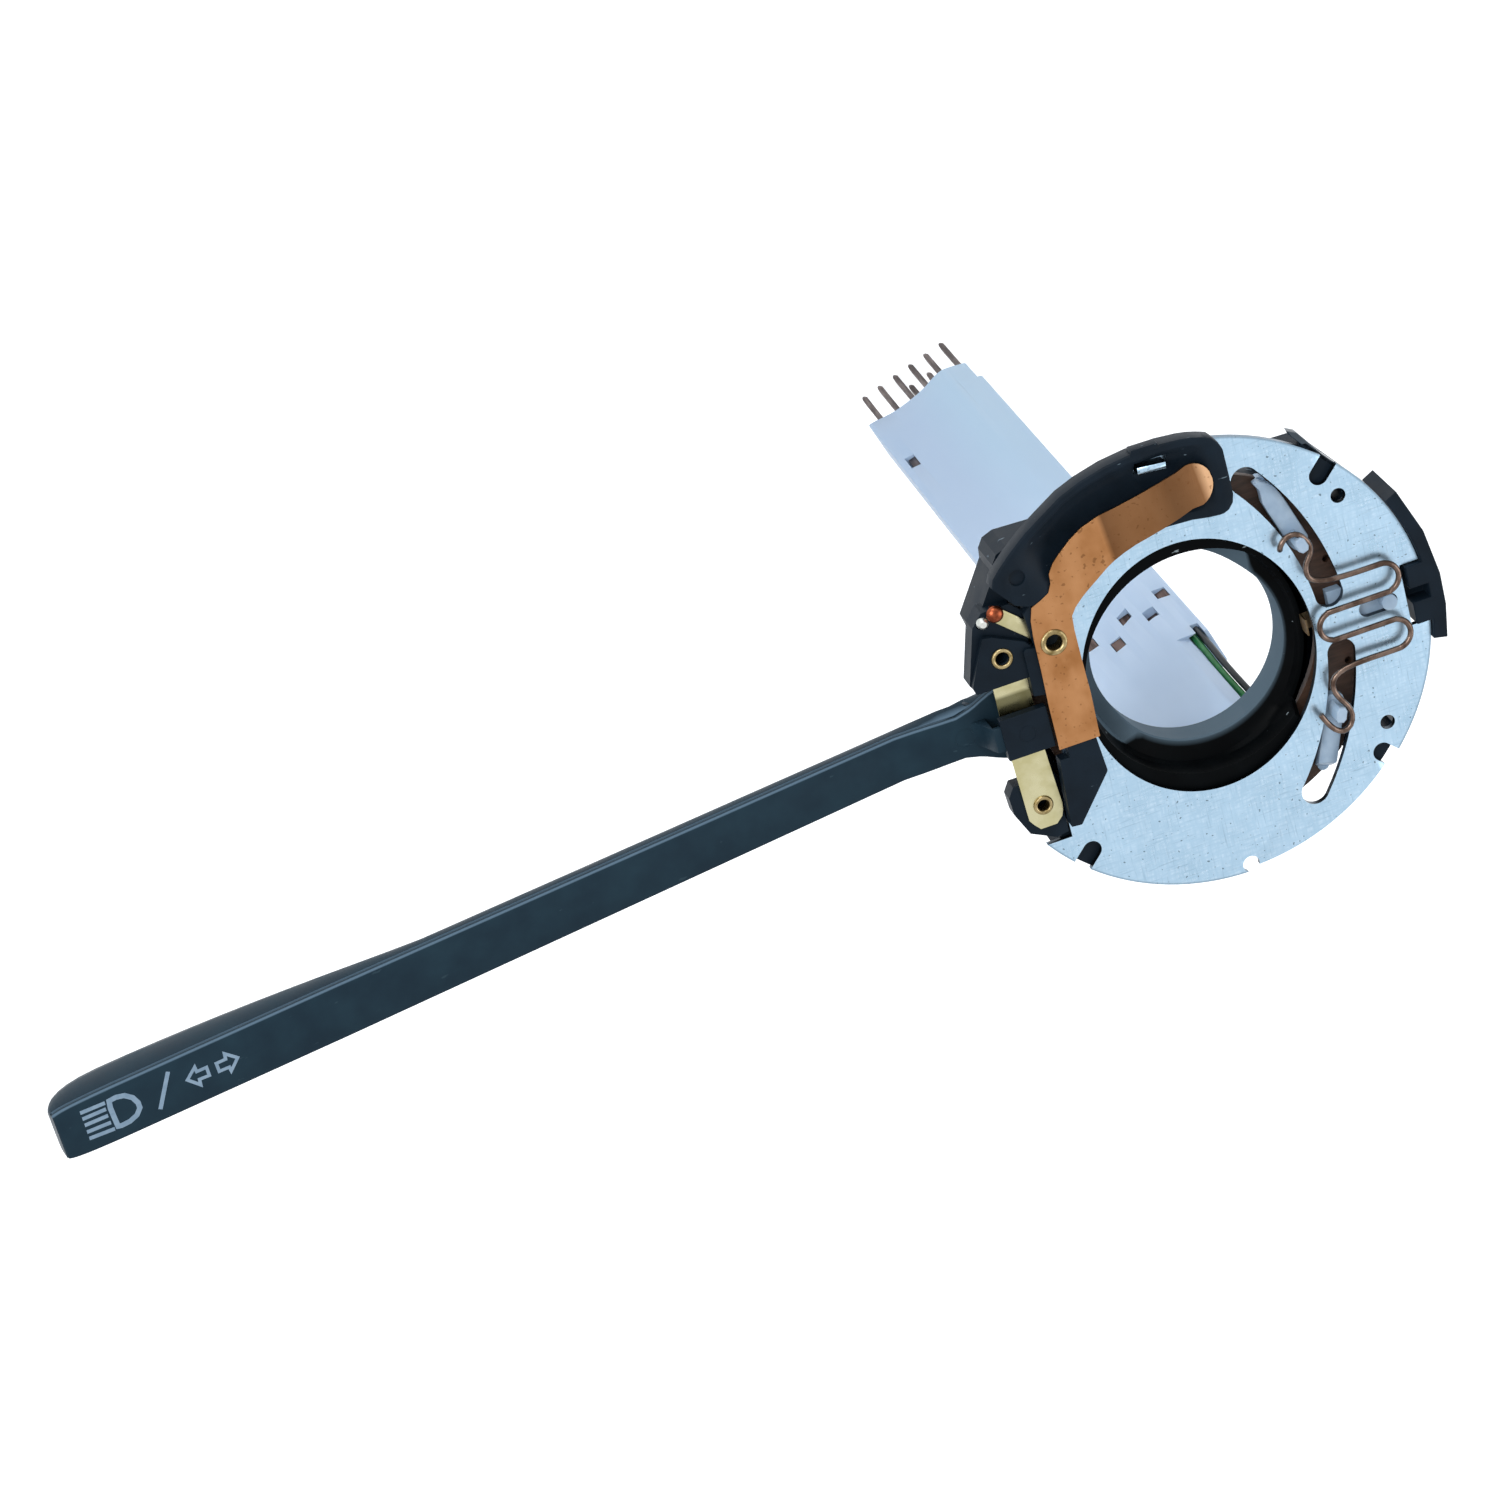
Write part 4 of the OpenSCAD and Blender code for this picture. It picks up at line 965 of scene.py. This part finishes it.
# %% Symbols on the grip
BEAM_W, LAMP_W, SLASH_W, ARROW_W = 0.68, 0.92, 0.75, 0.58
marks = [bar_of_ink("ink_bar", a, b, BEAM_W) for a, b in (
    ((158.0, 2.9), (153.5, 2.75)), ((158.0, 1.68), (153.7, 1.6)), ((158.0, 0.42), (153.75, 0.32)),
    ((158.05, -0.92), (153.7, -1.1)), ((158.05, -2.22), (153.45, -2.5)))]
marks.append(outline("ink_lamp", [
    (153.15, 3.2), (151.4, 3.35), (149.8, 2.95), (148.45, 1.8), (147.8, 0.3), (147.8, -1.0),
    (148.9, -2.25), (150.5, -2.85), (152.2, -2.95), (153.25, -2.7), (153.35, -0.4),
    (153.4, 1.5)], LAMP_W))
marks.append(bar_of_ink("ink_slash", (141.7, 3.25), (145.1, -2.7), SLASH_W))
marks.append(outline("ink_left", [
    (139.5, 0.3), (136.95, 2.55), (136.85, 1.3), (135.0, 1.3), (135.0, -0.95), (136.85, -0.85),
    (137.0, -2.25)], ARROW_W))
marks.append(outline("ink_right", [
    (129.3, 0.25), (131.85, 2.55), (132.0, 1.2), (133.8, 1.2), (133.75, -1.0), (131.85, -1.05),
    (131.7, -2.2)], ARROW_W))
symbols = join("stalk_symbols", *marks)
hand_over(symbols, "lever", ink)

# %% [markdown]
# Ejector pins leave faint rings on mouldings. They are 0.05 mm high here: enough for a
# line of light, as on the real part. A spun ridge is quicker than a groove, which would
# have to be cut.

# %% Ejector marks
def pin_mark(name, at, z, radius, material):
    ridge = [(-0.09, -0.05), (-0.07, 0.05), (0.07, 0.05), (0.09, -0.05)]
    ring = spin_profile(name, at, [(radius + out, z + up) for out, up in ridge], steps=36)
    hand_over(ring, "lever", material)


pin_mark("nose_mark", (-34.6, 0), NOSE_TOP, 1.5, black)
pin_mark("root_mark", (-44.6, -0.1), ROOT_Z, 1.8, stalk_black)

# %% [markdown]
# The horn arm lies on the plate's rim. Both ends are solid blocks, and between them it is
# a trough: from a narrow crest at the rim the floor slopes down under the copper strip
# and ends in a low ledge. Each station gives the outer and the inner point of the
# section and how far the trough has opened there. A leg with a seat for the eyelet and
# a small lug on the rim are drawn upright and joined on.

# %% Horn arm
HORN_EYELET = (-26.1, 15.7)
arm_line = [
    ((-34.5, 29.3), (-31.0, 24.6), 0), ((-33.9, 30.8), (-28.8, 23.6), 0),
    ((-32.4, 32.3), (-26.4, 23.3), 0), ((-30.4, 34.1), (-24.5, 24.1), 0),
    ((-28.5, 35.6), (-23.4, 25.6), 0.3), ((-26.5, 37.1), (-21.8, 25.6), 0.72),
    ((-23.4, 39.0), (-18.9, 24.9), 0.95), ((-18.8, 41.7), (-15.4, 25.4), 1),
    ((-14.8, 43.2), (-12.2, 26.8), 1), ((-10, 44.4), (-9, 27.9), 1), ((-5, 45.0), (-6, 28.5), 1),
    ((0.5, 45.1), (-1.3, 28.7), 1), ((4.4, 44.7), (3.7, 28.4), 1), ((6.4, 44.3), (6.6, 28.0), 0.8),
    ((8.0, 43.8), (8.3, 28.3), 0.2), ((8.8, 43.5), (9.1, 28.5), 0), ((9.8, 43.1), (10.1, 28.9), 0),
    ((10.8, 41.9), (11.0, 29.9), 0), ((11.3, 40.6), (11.4, 31.4), 0)]


def prism(name, points, low, high):
    return draw_through(name, [[Vector((x, y, z)) * MM for x, y in points] for z in (low, high)])


rings = []
for outer, inner, trough in arm_line:
    outer, inner = Vector(outer), Vector(inner)
    wide = (inner - outer).length
    section = [(0, 0.02), (0, 3.3), (0.25, 3.6), (1.3, 3.6), (2.6, 3.6 - 1.3 * trough),
               (4.6, 3.6 - 2.8 * trough), (wide - 2.6, 3.55 - 2.9 * trough),
               (wide - 1.6, 3.5 - 1.95 * trough), (wide - 0.3, 3.5 - 1.9 * trough),
               (wide, 3.2 - 1.9 * trough), (wide, 0.02)]
    rings.append([Vector((*outer.lerp(inner, min(max(d, 0), wide) / wide), z)) * MM
                  for d, z in section])
arm = draw_through("moulded_arm", rings)
carve(arm, prism("tab_slot", [(-4.6, 40.1), (1.5, 40.1), (1.7, 42.5), (-4.4, 42.7)], -1, 9))
carve(arm, drum((-29.7, 29.8), (1.5, 1.5), 2.9, 6, 32))
leg = prism("leg", [(-31.8, 6.6), (-29.6, 6.2), (-29.4, 4.8), (-22.9, 4.8), (-22.9, 15.2),
                    (-22.2, 19.4), (-23.6, 24.0), (-28.2, 24.0), (-30, 22.4), (-29.4, 15.4),
                    (-31.1, 15.9), (-31.7, 15.4)], 0.02, 2.95)
carve(leg, drum(HORN_EYELET, (1.95, 1.95), 1.1, 6, 40))
lug = prism("lug", [(-5.0, 44.6), (-4.7, 45.7), (0.1, 45.6), (0.7, 44.6)], 1.2, 3.62)
arm = join("moulded_arm", arm, leg, lug)
hand_over(arm, "switch_base", black, ["horn_arm"], soften=0.16, angle=38)

# %% [markdown]
# Under the plate's upper right rim the housing has a wall along a chord. Its mould was
# polished there, so the wall reflects the pale room. CAD has no such wall, so it is a
# piece of its own: a shallow prism in a glossier black.

# %% Polished wall
polished = black_moulding("polished_black_nylon", "#1f2d38", "#283844", "#5f6f7a", 0.24, 0.6, 0.55)
wall = prism("polished_wall", [(24.6, 37.5), (26.2, 36.6), (29.8, 31.2), (36.2, 23.3),
                               (35.6, 22.9), (29.2, 30.6), (24.9, 36.4)], -3.4, -1.25)
hand_over(wall, "switch_base", polished, soften=0.12, angle=20)

# %% [markdown]
# The horn contact is a strip stamped from 0.4 mm copper. It lies flat under its eyelet,
# has a waist where it passes the arm's round end, and then rises as a spring with its
# tip turned down. Left and right edge are listed in pairs; its height follows its
# distance along the slope, so the folds run straight across it as a press makes them.

# %% Copper horn strip
STRIP_Z, STRIP_T, TIP_R = 3.2, 0.4, 4
SLOPE = math.radians(38)
strip_side = [(-20, 0), (38.6, 0), (40.5, 0.03), (53, 0.92), (56, 1.0), (62.6, 1.0), (64, 0.9),
              (84, -3.6)]


def strip_height(x, y):
    run = x * math.cos(SLOPE) + y * math.sin(SLOPE) + 40
    for (a, za), (b, zb) in zip(strip_side, strip_side[1:]):
        if a <= run <= b:
            return STRIP_Z + za + (zb - za) * (run - a) / (b - a)
    return STRIP_Z


strip_edges = [
    ((-29.9, -4.8), (-22.2, -4.8)), ((-29.85, 4), (-21.9, 4)), ((-29.6, 11), (-22, 10.6)),
    ((-29.55, 15), (-22, 14.6)), ((-29.5, 17.7), (-22, 16.7)), ((-29.2, 21), (-21.8, 19.4)),
    ((-28.5, 23.4), (-20.8, 20.8)), ((-26.6, 24.2), (-19.9, 21.6)), ((-24.9, 25.1), (-19.1, 22.3)),
    ((-24.15, 26.7), (-18.0, 23.1)), ((-24.0, 28.5), (-16.6, 24.1)), ((-22.9, 30.2), (-15.1, 25.2)),
    ((-21.5, 31.6), (-13.6, 26.3)), ((-19.1, 33.6), (-12.2, 27.1)), ((-16.6, 35.2), (-10.2, 28.0)),
    ((-13.2, 36.4), (-7.9, 28.8)), ((-10.1, 36.9), (-5.4, 29.4)), ((-5.7, 37.7), (-2.4, 30.1)),
    ((-1.5, 38.6), (0.9, 31.0)), ((2.0, 39.2), (3.5, 31.9))]
tip_centre, tip_way = Vector((4.4, 35.8)), Vector((0.985, 0.17))
for reach in (0.4, 1.2, 2.0, 2.7, 3.3, 3.7, 3.93):
    chord = math.sqrt(TIP_R ** 2 - reach ** 2) * Vector((-tip_way.y, tip_way.x))
    at = tip_centre + tip_way * reach
    strip_edges.append((tuple(at + chord), tuple(at - chord)))
rings = []
for left, right in strip_edges:
    zl, zr = strip_height(*left), strip_height(*right)
    rings.append([Vector((*left, zl)) * MM, Vector((*right, zr)) * MM,
                  Vector((*right, zr + STRIP_T)) * MM, Vector((*left, zl + STRIP_T)) * MM])
strip = draw_through("copper_strip", rings)
carve(strip, drum(HORN_EYELET, (1.9, 1.9), 0, 9, 40))
hand_over(strip, "switch_base", copper, ["horn_strip"], soften=0.07, crisp=True)

# %% [markdown]
# Eyelets are rolled from brass tube: a barrel with its rim turned over into a rounded
# flange. Half the section is drawn with the roll as an arc, and spun. The rivet's dome
# and the silver contact are spun the same way.

# %% Eyelets, rivet and contact
LEAF_EYELET = (-34.7, -15.7)


def rolled_eyelet(name, at, seat, deep, bore, rim, replaced):
    roll = [(bore + (rim - bore) * (0.5 - 0.5 * math.cos(a)), seat + 0.42 * math.sin(a))
            for a in (math.pi * i / 7 for i in range(8))]
    profile = [(bore, seat - deep)] + roll + [(rim, seat - 0.02), (bore + 0.4, seat - 0.03),
                                              (bore + 0.4, seat - deep), (bore, seat - deep)]
    hand_over(spin_profile(name, at, profile), "switch_base", eyelet_brass, replaced)


rolled_eyelet("horn_rivet_eyelet", HORN_EYELET, 3.6, 3.5, 1.45, 2.5, ["horn_eyelet"])
rolled_eyelet("cover_rivet_eyelet", (-35.6, 15.4), 2.42, 3.6, 1.2, 2.0, ["cover_eyelet"])
rolled_eyelet("leaf_rivet_eyelet", LEAF_EYELET, 0.62, 2.2, 1.05, 1.87, ["leaf_eyelet"])
dome = [(1.6 * math.cos(a), 1.5 + 1.05 * math.sin(a))
        for a in (math.pi / 2 * i / 6 for i in range(7))]
rivet = spin_profile("domed_rivet", (-34.7, 23.6), [(0.9, -0.6), (0.9, 1.5)] + dome)
hand_over(rivet, "switch_base", rivet_copper, ["contact_rivet"])
point = spin_profile("silver_point", (-37.2, 22.5), [(0.7, 0.3), (0.75, 1.0), (1.15, 1.02),
                                                     (1.05, 1.5), (0.6, 1.95), (0, 2.0)])
hand_over(point, "switch_base", silver, ["silver_contact"])

# %% [markdown]
# A flat brass blade runs slantwise from the rivet to the horn eyelet, with a chamfered
# end. Its outline is worked out from the line between its ends, and drawn upright.

# %% Contact blade
blade_end, blade_root = Vector((-35.6, 24.5)), Vector((-28.4, 17.6))
way = (Vector((-28.4, 17.4)) - Vector((-35.4, 24.4))).normalized()
side = Vector((-way.y, way.x))
blade_points = [blade_end - side * 0.8, blade_end + way * 0.9 - side * 1.4, blade_root - side * 1.4,
                blade_root + side * 1.3, blade_end + way * 0.9 + side * 1.3, blade_end + side * 0.7]
hand_over(prism("contact_blade", blade_points, 1.1, 1.5), "switch_base", brass,
          ["contact_bar"], soften=0.06)

# %% [markdown]
# The flasher leaf is spring brass, flat under its eyelet and then sprung up a little
# beyond the nose, which is why its far end catches the light differently. It is pressed
# down when the stalk is pulled. Each station gives the distance along the leaf, its
# height and its two edges.

# %% Brass leaf
LEAF_T = 0.4
leaf_line = [
    (-20.2, 0.2, -36.2, -33.1), (-19.0, 0.2, -37.2, -31.8), (-17.9, 0.2, -37.9, -31.4),
    (-16.6, 0.2, -37.95, -31.2), (-12, 0.2, -38.05, -31.5), (-5.1, 0.2, -38.2, -31.9),
    (3.4, 0.12, -38.3, -31.8), (5.0, 0.14, -38.3, -31.8), (6.4, 0.24, -38.3, -31.8),
    (8.2, 0.44, -38.3, -31.8), (9.8, 0.55, -38.3, -31.8), (12.4, 0.56, -38.3, -31.8)]
rings = [[Vector((x0, y, z)) * MM, Vector((x1, y, z)) * MM, Vector((x1, y, z + LEAF_T)) * MM,
          Vector((x0, y, z + LEAF_T)) * MM] for y, z, x0, x1 in leaf_line]
leaf = draw_through("brass_leaf", rings)
carve(leaf, drum(LEAF_EYELET, (1.4, 1.4), -2, 3, 32))
hand_over(leaf, "switch_base", brass, ["leaf_spring"], soften=0.06, crisp=True)
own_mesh(leaf)

# %% [markdown]
# The cancelling spring is one length of wire about 1 mm thick, bent flat into three
# loops with a hook at each end round the pawls' posts. The path is made of arcs and of
# points for the hooks, and a round section is carried along it, square to the wire.

# %% Cancelling spring
WIRE_R, WIRE_CORNERS, WIRE_Z = 0.54, 12, 2


def arc(centre, radius, start, stop, steps):
    angles = [math.radians(start + (stop - start) * i / steps) for i in range(steps + 1)]
    return [Vector((centre[0] + radius * math.cos(a), centre[1] + radius * math.sin(a), 0))
            for a in angles]


def wire_rings(line):
    rings = []
    for i, point in enumerate(line):
        way = (line[min(i + 1, len(line) - 1)] - line[max(i - 1, 0)]).normalized()
        side = Vector((0, 0, 1)).cross(way).normalized()
        up = way.cross(side)
        turns = [math.tau * k / WIRE_CORNERS for k in range(WIRE_CORNERS)]
        rings.append([(point + WIRE_R * (math.cos(a) * side + math.sin(a) * up)) * MM
                      for a in turns])
    return rings


loops = (arc((35, 5.7), 2.9, 90, -90, 16) + arc((24.4, 0), 2.8, 90, 270, 16)
         + arc((35, -5.7), 2.9, 90, -90, 16))
upper_hook = [
    (17.9, 17.2), (17.9, 18.3), (18.8, 19.3), (20.2, 19.7), (21.5, 19.3), (22.6, 18), (23.1, 16.6),
    (22.9, 15.1), (21.9, 13.6), (21.5, 12.2), (21.7, 10.7), (22.8, 9.7), (24.6, 9.1), (28, 8.7),
    (32, 8.6)]
lower_hook = [
    (32, -8.6), (28, -8.6), (24.6, -8.9), (22.5, -9.8), (21.7, -11.2), (21.8, -12.8),
    (22.6, -14.6), (23.6, -16.3), (24, -18.2), (23.3, -20.1), (21.8, -20.8), (20.3, -19.9),
    (19.1, -18), (18.3, -16.2)]
path = [Vector((*p, 0)) for p in upper_hook] + loops + [Vector((*p, 0)) for p in lower_hook]
path = [p + Vector((0, 0, WIRE_Z)) for p in path]
path[0].z = 1.1
spring = draw_through("wire_spring", wire_rings(smooth_line(path, 2)))
hand_over(spring, "turn_carrier", spring_steel, ["cancelling_spring"],
          soften=0.06, angle=50)

# %% [markdown]
# Each cancelling pawl is a nylon rod under the plate. A knob with eight corners stands up
# through the slot for the spring's hook, and a round stem goes down into the carrier.
# Both pawls come from the same stations along their length, and the lower one is turned
# over to the other side. They differ at the far end: the upper one is drawn out to a
# narrow hooked tip, and the lower one is cut off straight.

# %% Pawls
TURN_PIVOT_X = -26.4
POST_R, POST_ANGLE = 51.5, math.radians(19.7)
STEM_R, STEM_ANGLE = 53.1, math.radians(33)
PAWL_LOW, PAWL_TOP = -3.5, -1.46
POST = Vector((TURN_PIVOT_X + POST_R * math.cos(POST_ANGLE), POST_R * math.sin(POST_ANGLE)))
STEM = Vector((TURN_PIVOT_X + STEM_R * math.cos(STEM_ANGLE), STEM_R * math.sin(STEM_ANGLE)))
knob_corners = [(1, 0.55), (0.55, 1), (-0.55, 1), (-1, 0.55), (-1, -0.55), (-0.55, -1),
                (0.55, -1), (1, -0.55)]


def pawl(name, flip):
    way = (STEM - POST).normalized()
    side = Vector((-way.y, way.x))
    length = (STEM - POST).length
    upper = flip > 0
    stations = [(-2.5, 0.9, -0.7), (-2.2, 1.5, -1.3), (-1.2, 1.85, -1.85), (3, 1.9, -1.9)]
    if upper:
        stations += [(length - 5.2, 1.9, -1.95), (length - 2.8, 1.8, -1.85),
                     (length - 1.4, 1.3, -1.6), (length - 0.3, 1.05, -1.15),
                     (length + 0.5, 1.2, -0.5), (length + 1.3, 1.3, 0.3)]
    else:
        stations += [(length - 1.6, 1.85, -1.85), (length - 1.1, 1.7, -1.7)]
    rings = []
    for run, left, right in stations:
        corners = []
        for across, z in ((left, PAWL_LOW), (right, PAWL_LOW), (right, PAWL_TOP), (left, PAWL_TOP)):
            under = 1.3 if not upper and run > length - 1.3 and z < -3 else 0
            spot = POST + way * (run + under) + side * across
            corners.append(Vector((spot.x, spot.y * flip, z)) * MM)
        rings.append(corners)
    body = draw_through(name, rings)
    only(body)
    soften_edges(body, 0.3, 40)
    knob = POST + Vector((-0.5 if upper else -0.2, 0))
    rings = []
    for z, grow in ((-1.6, 0), (2.45, 0), (2.75, -0.08), (2.9, -0.3)):
        spots = [knob + way * a * (1.5 + grow) + side * b * (1.05 + grow) for a, b in knob_corners]
        rings.append([Vector((spot.x, spot.y * flip, z)) * MM for spot in spots])
    post = draw_through(name + "_post", rings)
    stem = spin_profile(name + "_stem", (STEM.x, STEM.y * flip),
                        [(0, -5.2), (1.1, -5.2), (1.1, -3.45), (0, -3.45)], 24)
    return join(name, body, post, stem)


hand_over(pawl("nylon_pawl_upper", 1), "upper_pawl", pawl_nylon, ["pawl_upper"],
          angle=30)
hand_over(pawl("nylon_pawl_lower", -1), "lower_pawl", pawl_nylon, ["pawl_lower"],
          angle=30)

# %% [markdown]
# The plug is a long nylon box with a gently waved face: the mould leaves shallow hollows
# between the ribs that hold the blades. Its section is drawn once with a smooth upper
# line and pulled along the column; beyond the shoulder it is wider. Small windows, cut
# with a Boolean, show the rails inside.

# %% Plug body
PLUG_Y, PLUG_RIGHT, PLUG_END = -19.6, 7.4, -218
wave = smooth_line([Vector((x, y, 0)) for x, y in (
    (-18.9, -0.1), (-17.4, -0.25), (-15.5, -0.6), (-12.3, -1), (-8, -0.9), (-4.5, -0.5),
    (-1.5, 0.3), (1.1, 0.6), (3.6, 0), (5.4, -0.6), (7.1, -1.15))], 4)
section = [(p.x, p.y) for p in wave] + [
    (7.4, -1.5), (7.4, -9.0), (7.1, -9.7), (6.5, -9.9), (-18.4, -9.9), (-19.1, -9.6),
    (-19.3, -9.0), (-19.3, -0.5), (-19.2, -0.2)]


def plug_ring(z, right=PLUG_RIGHT, shrink=0.0):
    """The section at height z, with its right side moved in to right and its edges by shrink."""
    ring = []
    for x, y in section:
        if x > 1:
            x = 1 + (x - 1) * (right - 1) / (PLUG_RIGHT - 1)
        x = x * (1 - shrink / 13) if shrink else x
        inwards = shrink if y > -5 else -shrink
        ring.append((PLUG_TURN @ Vector((x, y + PLUG_Y - inwards, z))) * MM)
    return ring


plug = draw_through("plug_moulding", [
    plug_ring(-13.42, 3.6), plug_ring(-30, 3.6), plug_ring(-48.95, 3.6), plug_ring(-49, 7.2),
    plug_ring(-49.25), plug_ring(-80), plug_ring(-120), plug_ring(-160), plug_ring(-206.9),
    plug_ring(-207, 6.5), plug_ring(-217.7, 6.5), plug_ring(PLUG_END, 6.4, 0.2)])
print("plug section has", len(section), "corners")

# %% [markdown]
# The windows lie in two rows beside the rails, one more is near the far end, and the
# recess for the leads and the mouths of the blades are cut with the same tool. All the
# boxes are joined first, so that one Boolean does all the cutting.

# %% Windows and mouths
RAIL_Y, SHORT_Y = -21.9, -26.2
BLADES = [-16.1 + 4.24 * i for i in range(6)]
SHORT = [-5.8, -0.9]
boxes = [((x, -17.9, -70.8 if i % 2 else -64.2), (2.5, 8, 4.4)) for i, x in enumerate(BLADES)]
boxes.append(((BLADES[0] - 0.5, -17.9, -188.6), (2.2, 8, 6.4)))
boxes.append(((5.05, -21.65, -50), (3.1, 3.1, 6)))
boxes += [((x, RAIL_Y, PLUG_END), (1.55, 1.9, 3)) for x in BLADES]
boxes += [((x, SHORT_Y, PLUG_END), (1.55, 1.9, 3)) for x in SHORT]
cutters = [box(PLUG_TURN @ Vector(at), size, PLUG_ANGLE) for at, size in boxes]
carve(plug, join("cutter", *cutters))
hand_over(plug, "switch_base", plug_nylon, ["plug_body"], soften=0.25, angle=30)

# %% [markdown]
# Six tinned rails run through the plug. Inside the windows one sees their flat faces, and
# beyond the plug's end they are the blades, each coined to a lopsided point. One rail is
# modelled and copied, every copy with its own mesh. Two shorter ones stand behind them.

# %% Blades
BLADE_W, BLADE_D, RAIL_HALF, RAIL_FACE = 0.625, 0.75, 1.12, 1.15


def rail(name, x, y, top):
    w, d = BLADE_W, BLADE_D
    rings = []
    for z, low, high, under, over_top in (
            (top, -RAIL_HALF, RAIL_HALF, d, RAIL_FACE), (-209, -RAIL_HALF, RAIL_HALF, d, RAIL_FACE),
            (-210, -w, w, d, d), (-234.6, -w, w, d, d),
            (-235.9, -w * 0.75, w * 0.55, d * 0.8, d * 0.8),
            (-237.0, -w * 0.3, w * 0.1, d * 0.45, d * 0.45)):
        corners = ((low, -under), (high, -under), (high, over_top), (low, over_top))
        rings.append([(PLUG_TURN @ Vector((x + a, y + b, z))) * MM for a, b in corners])
    return draw_through(name, rings)


first = rail("rail", BLADES[0], RAIL_Y, -60.0)
rails = [first]
for x in BLADES[1:]:
    copy = first.copy()
    copy.data = first.data.copy()
    copy.location = PLUG_TURN @ Vector((x - BLADES[0], 0, 0)) * MM
    bpy.context.scene.collection.objects.link(copy)
    rails.append(copy)
blades = join("tinned_blades", *rails)
hand_over(blades, "switch_base", tinned, ["plug_blades"], soften=0.1)
stubs = join("short_tinned_blades", *[rail("stub", x, SHORT_Y, -202.4) for x in SHORT])
hand_over(stubs, "switch_base", tinned, ["short_blades"], soften=0.1)

# %% Sizes and finish
visual_bounds = [list(corner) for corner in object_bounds()]
for axis, low, high, cad_low, cad_high in zip("XYZ", *visual_bounds, *cad_bounds):
    print(axis, "visual", round(low * 1000, 1), round(high * 1000, 1),
          "CAD", round(cad_low * 1000, 1), round(cad_high * 1000, 1))
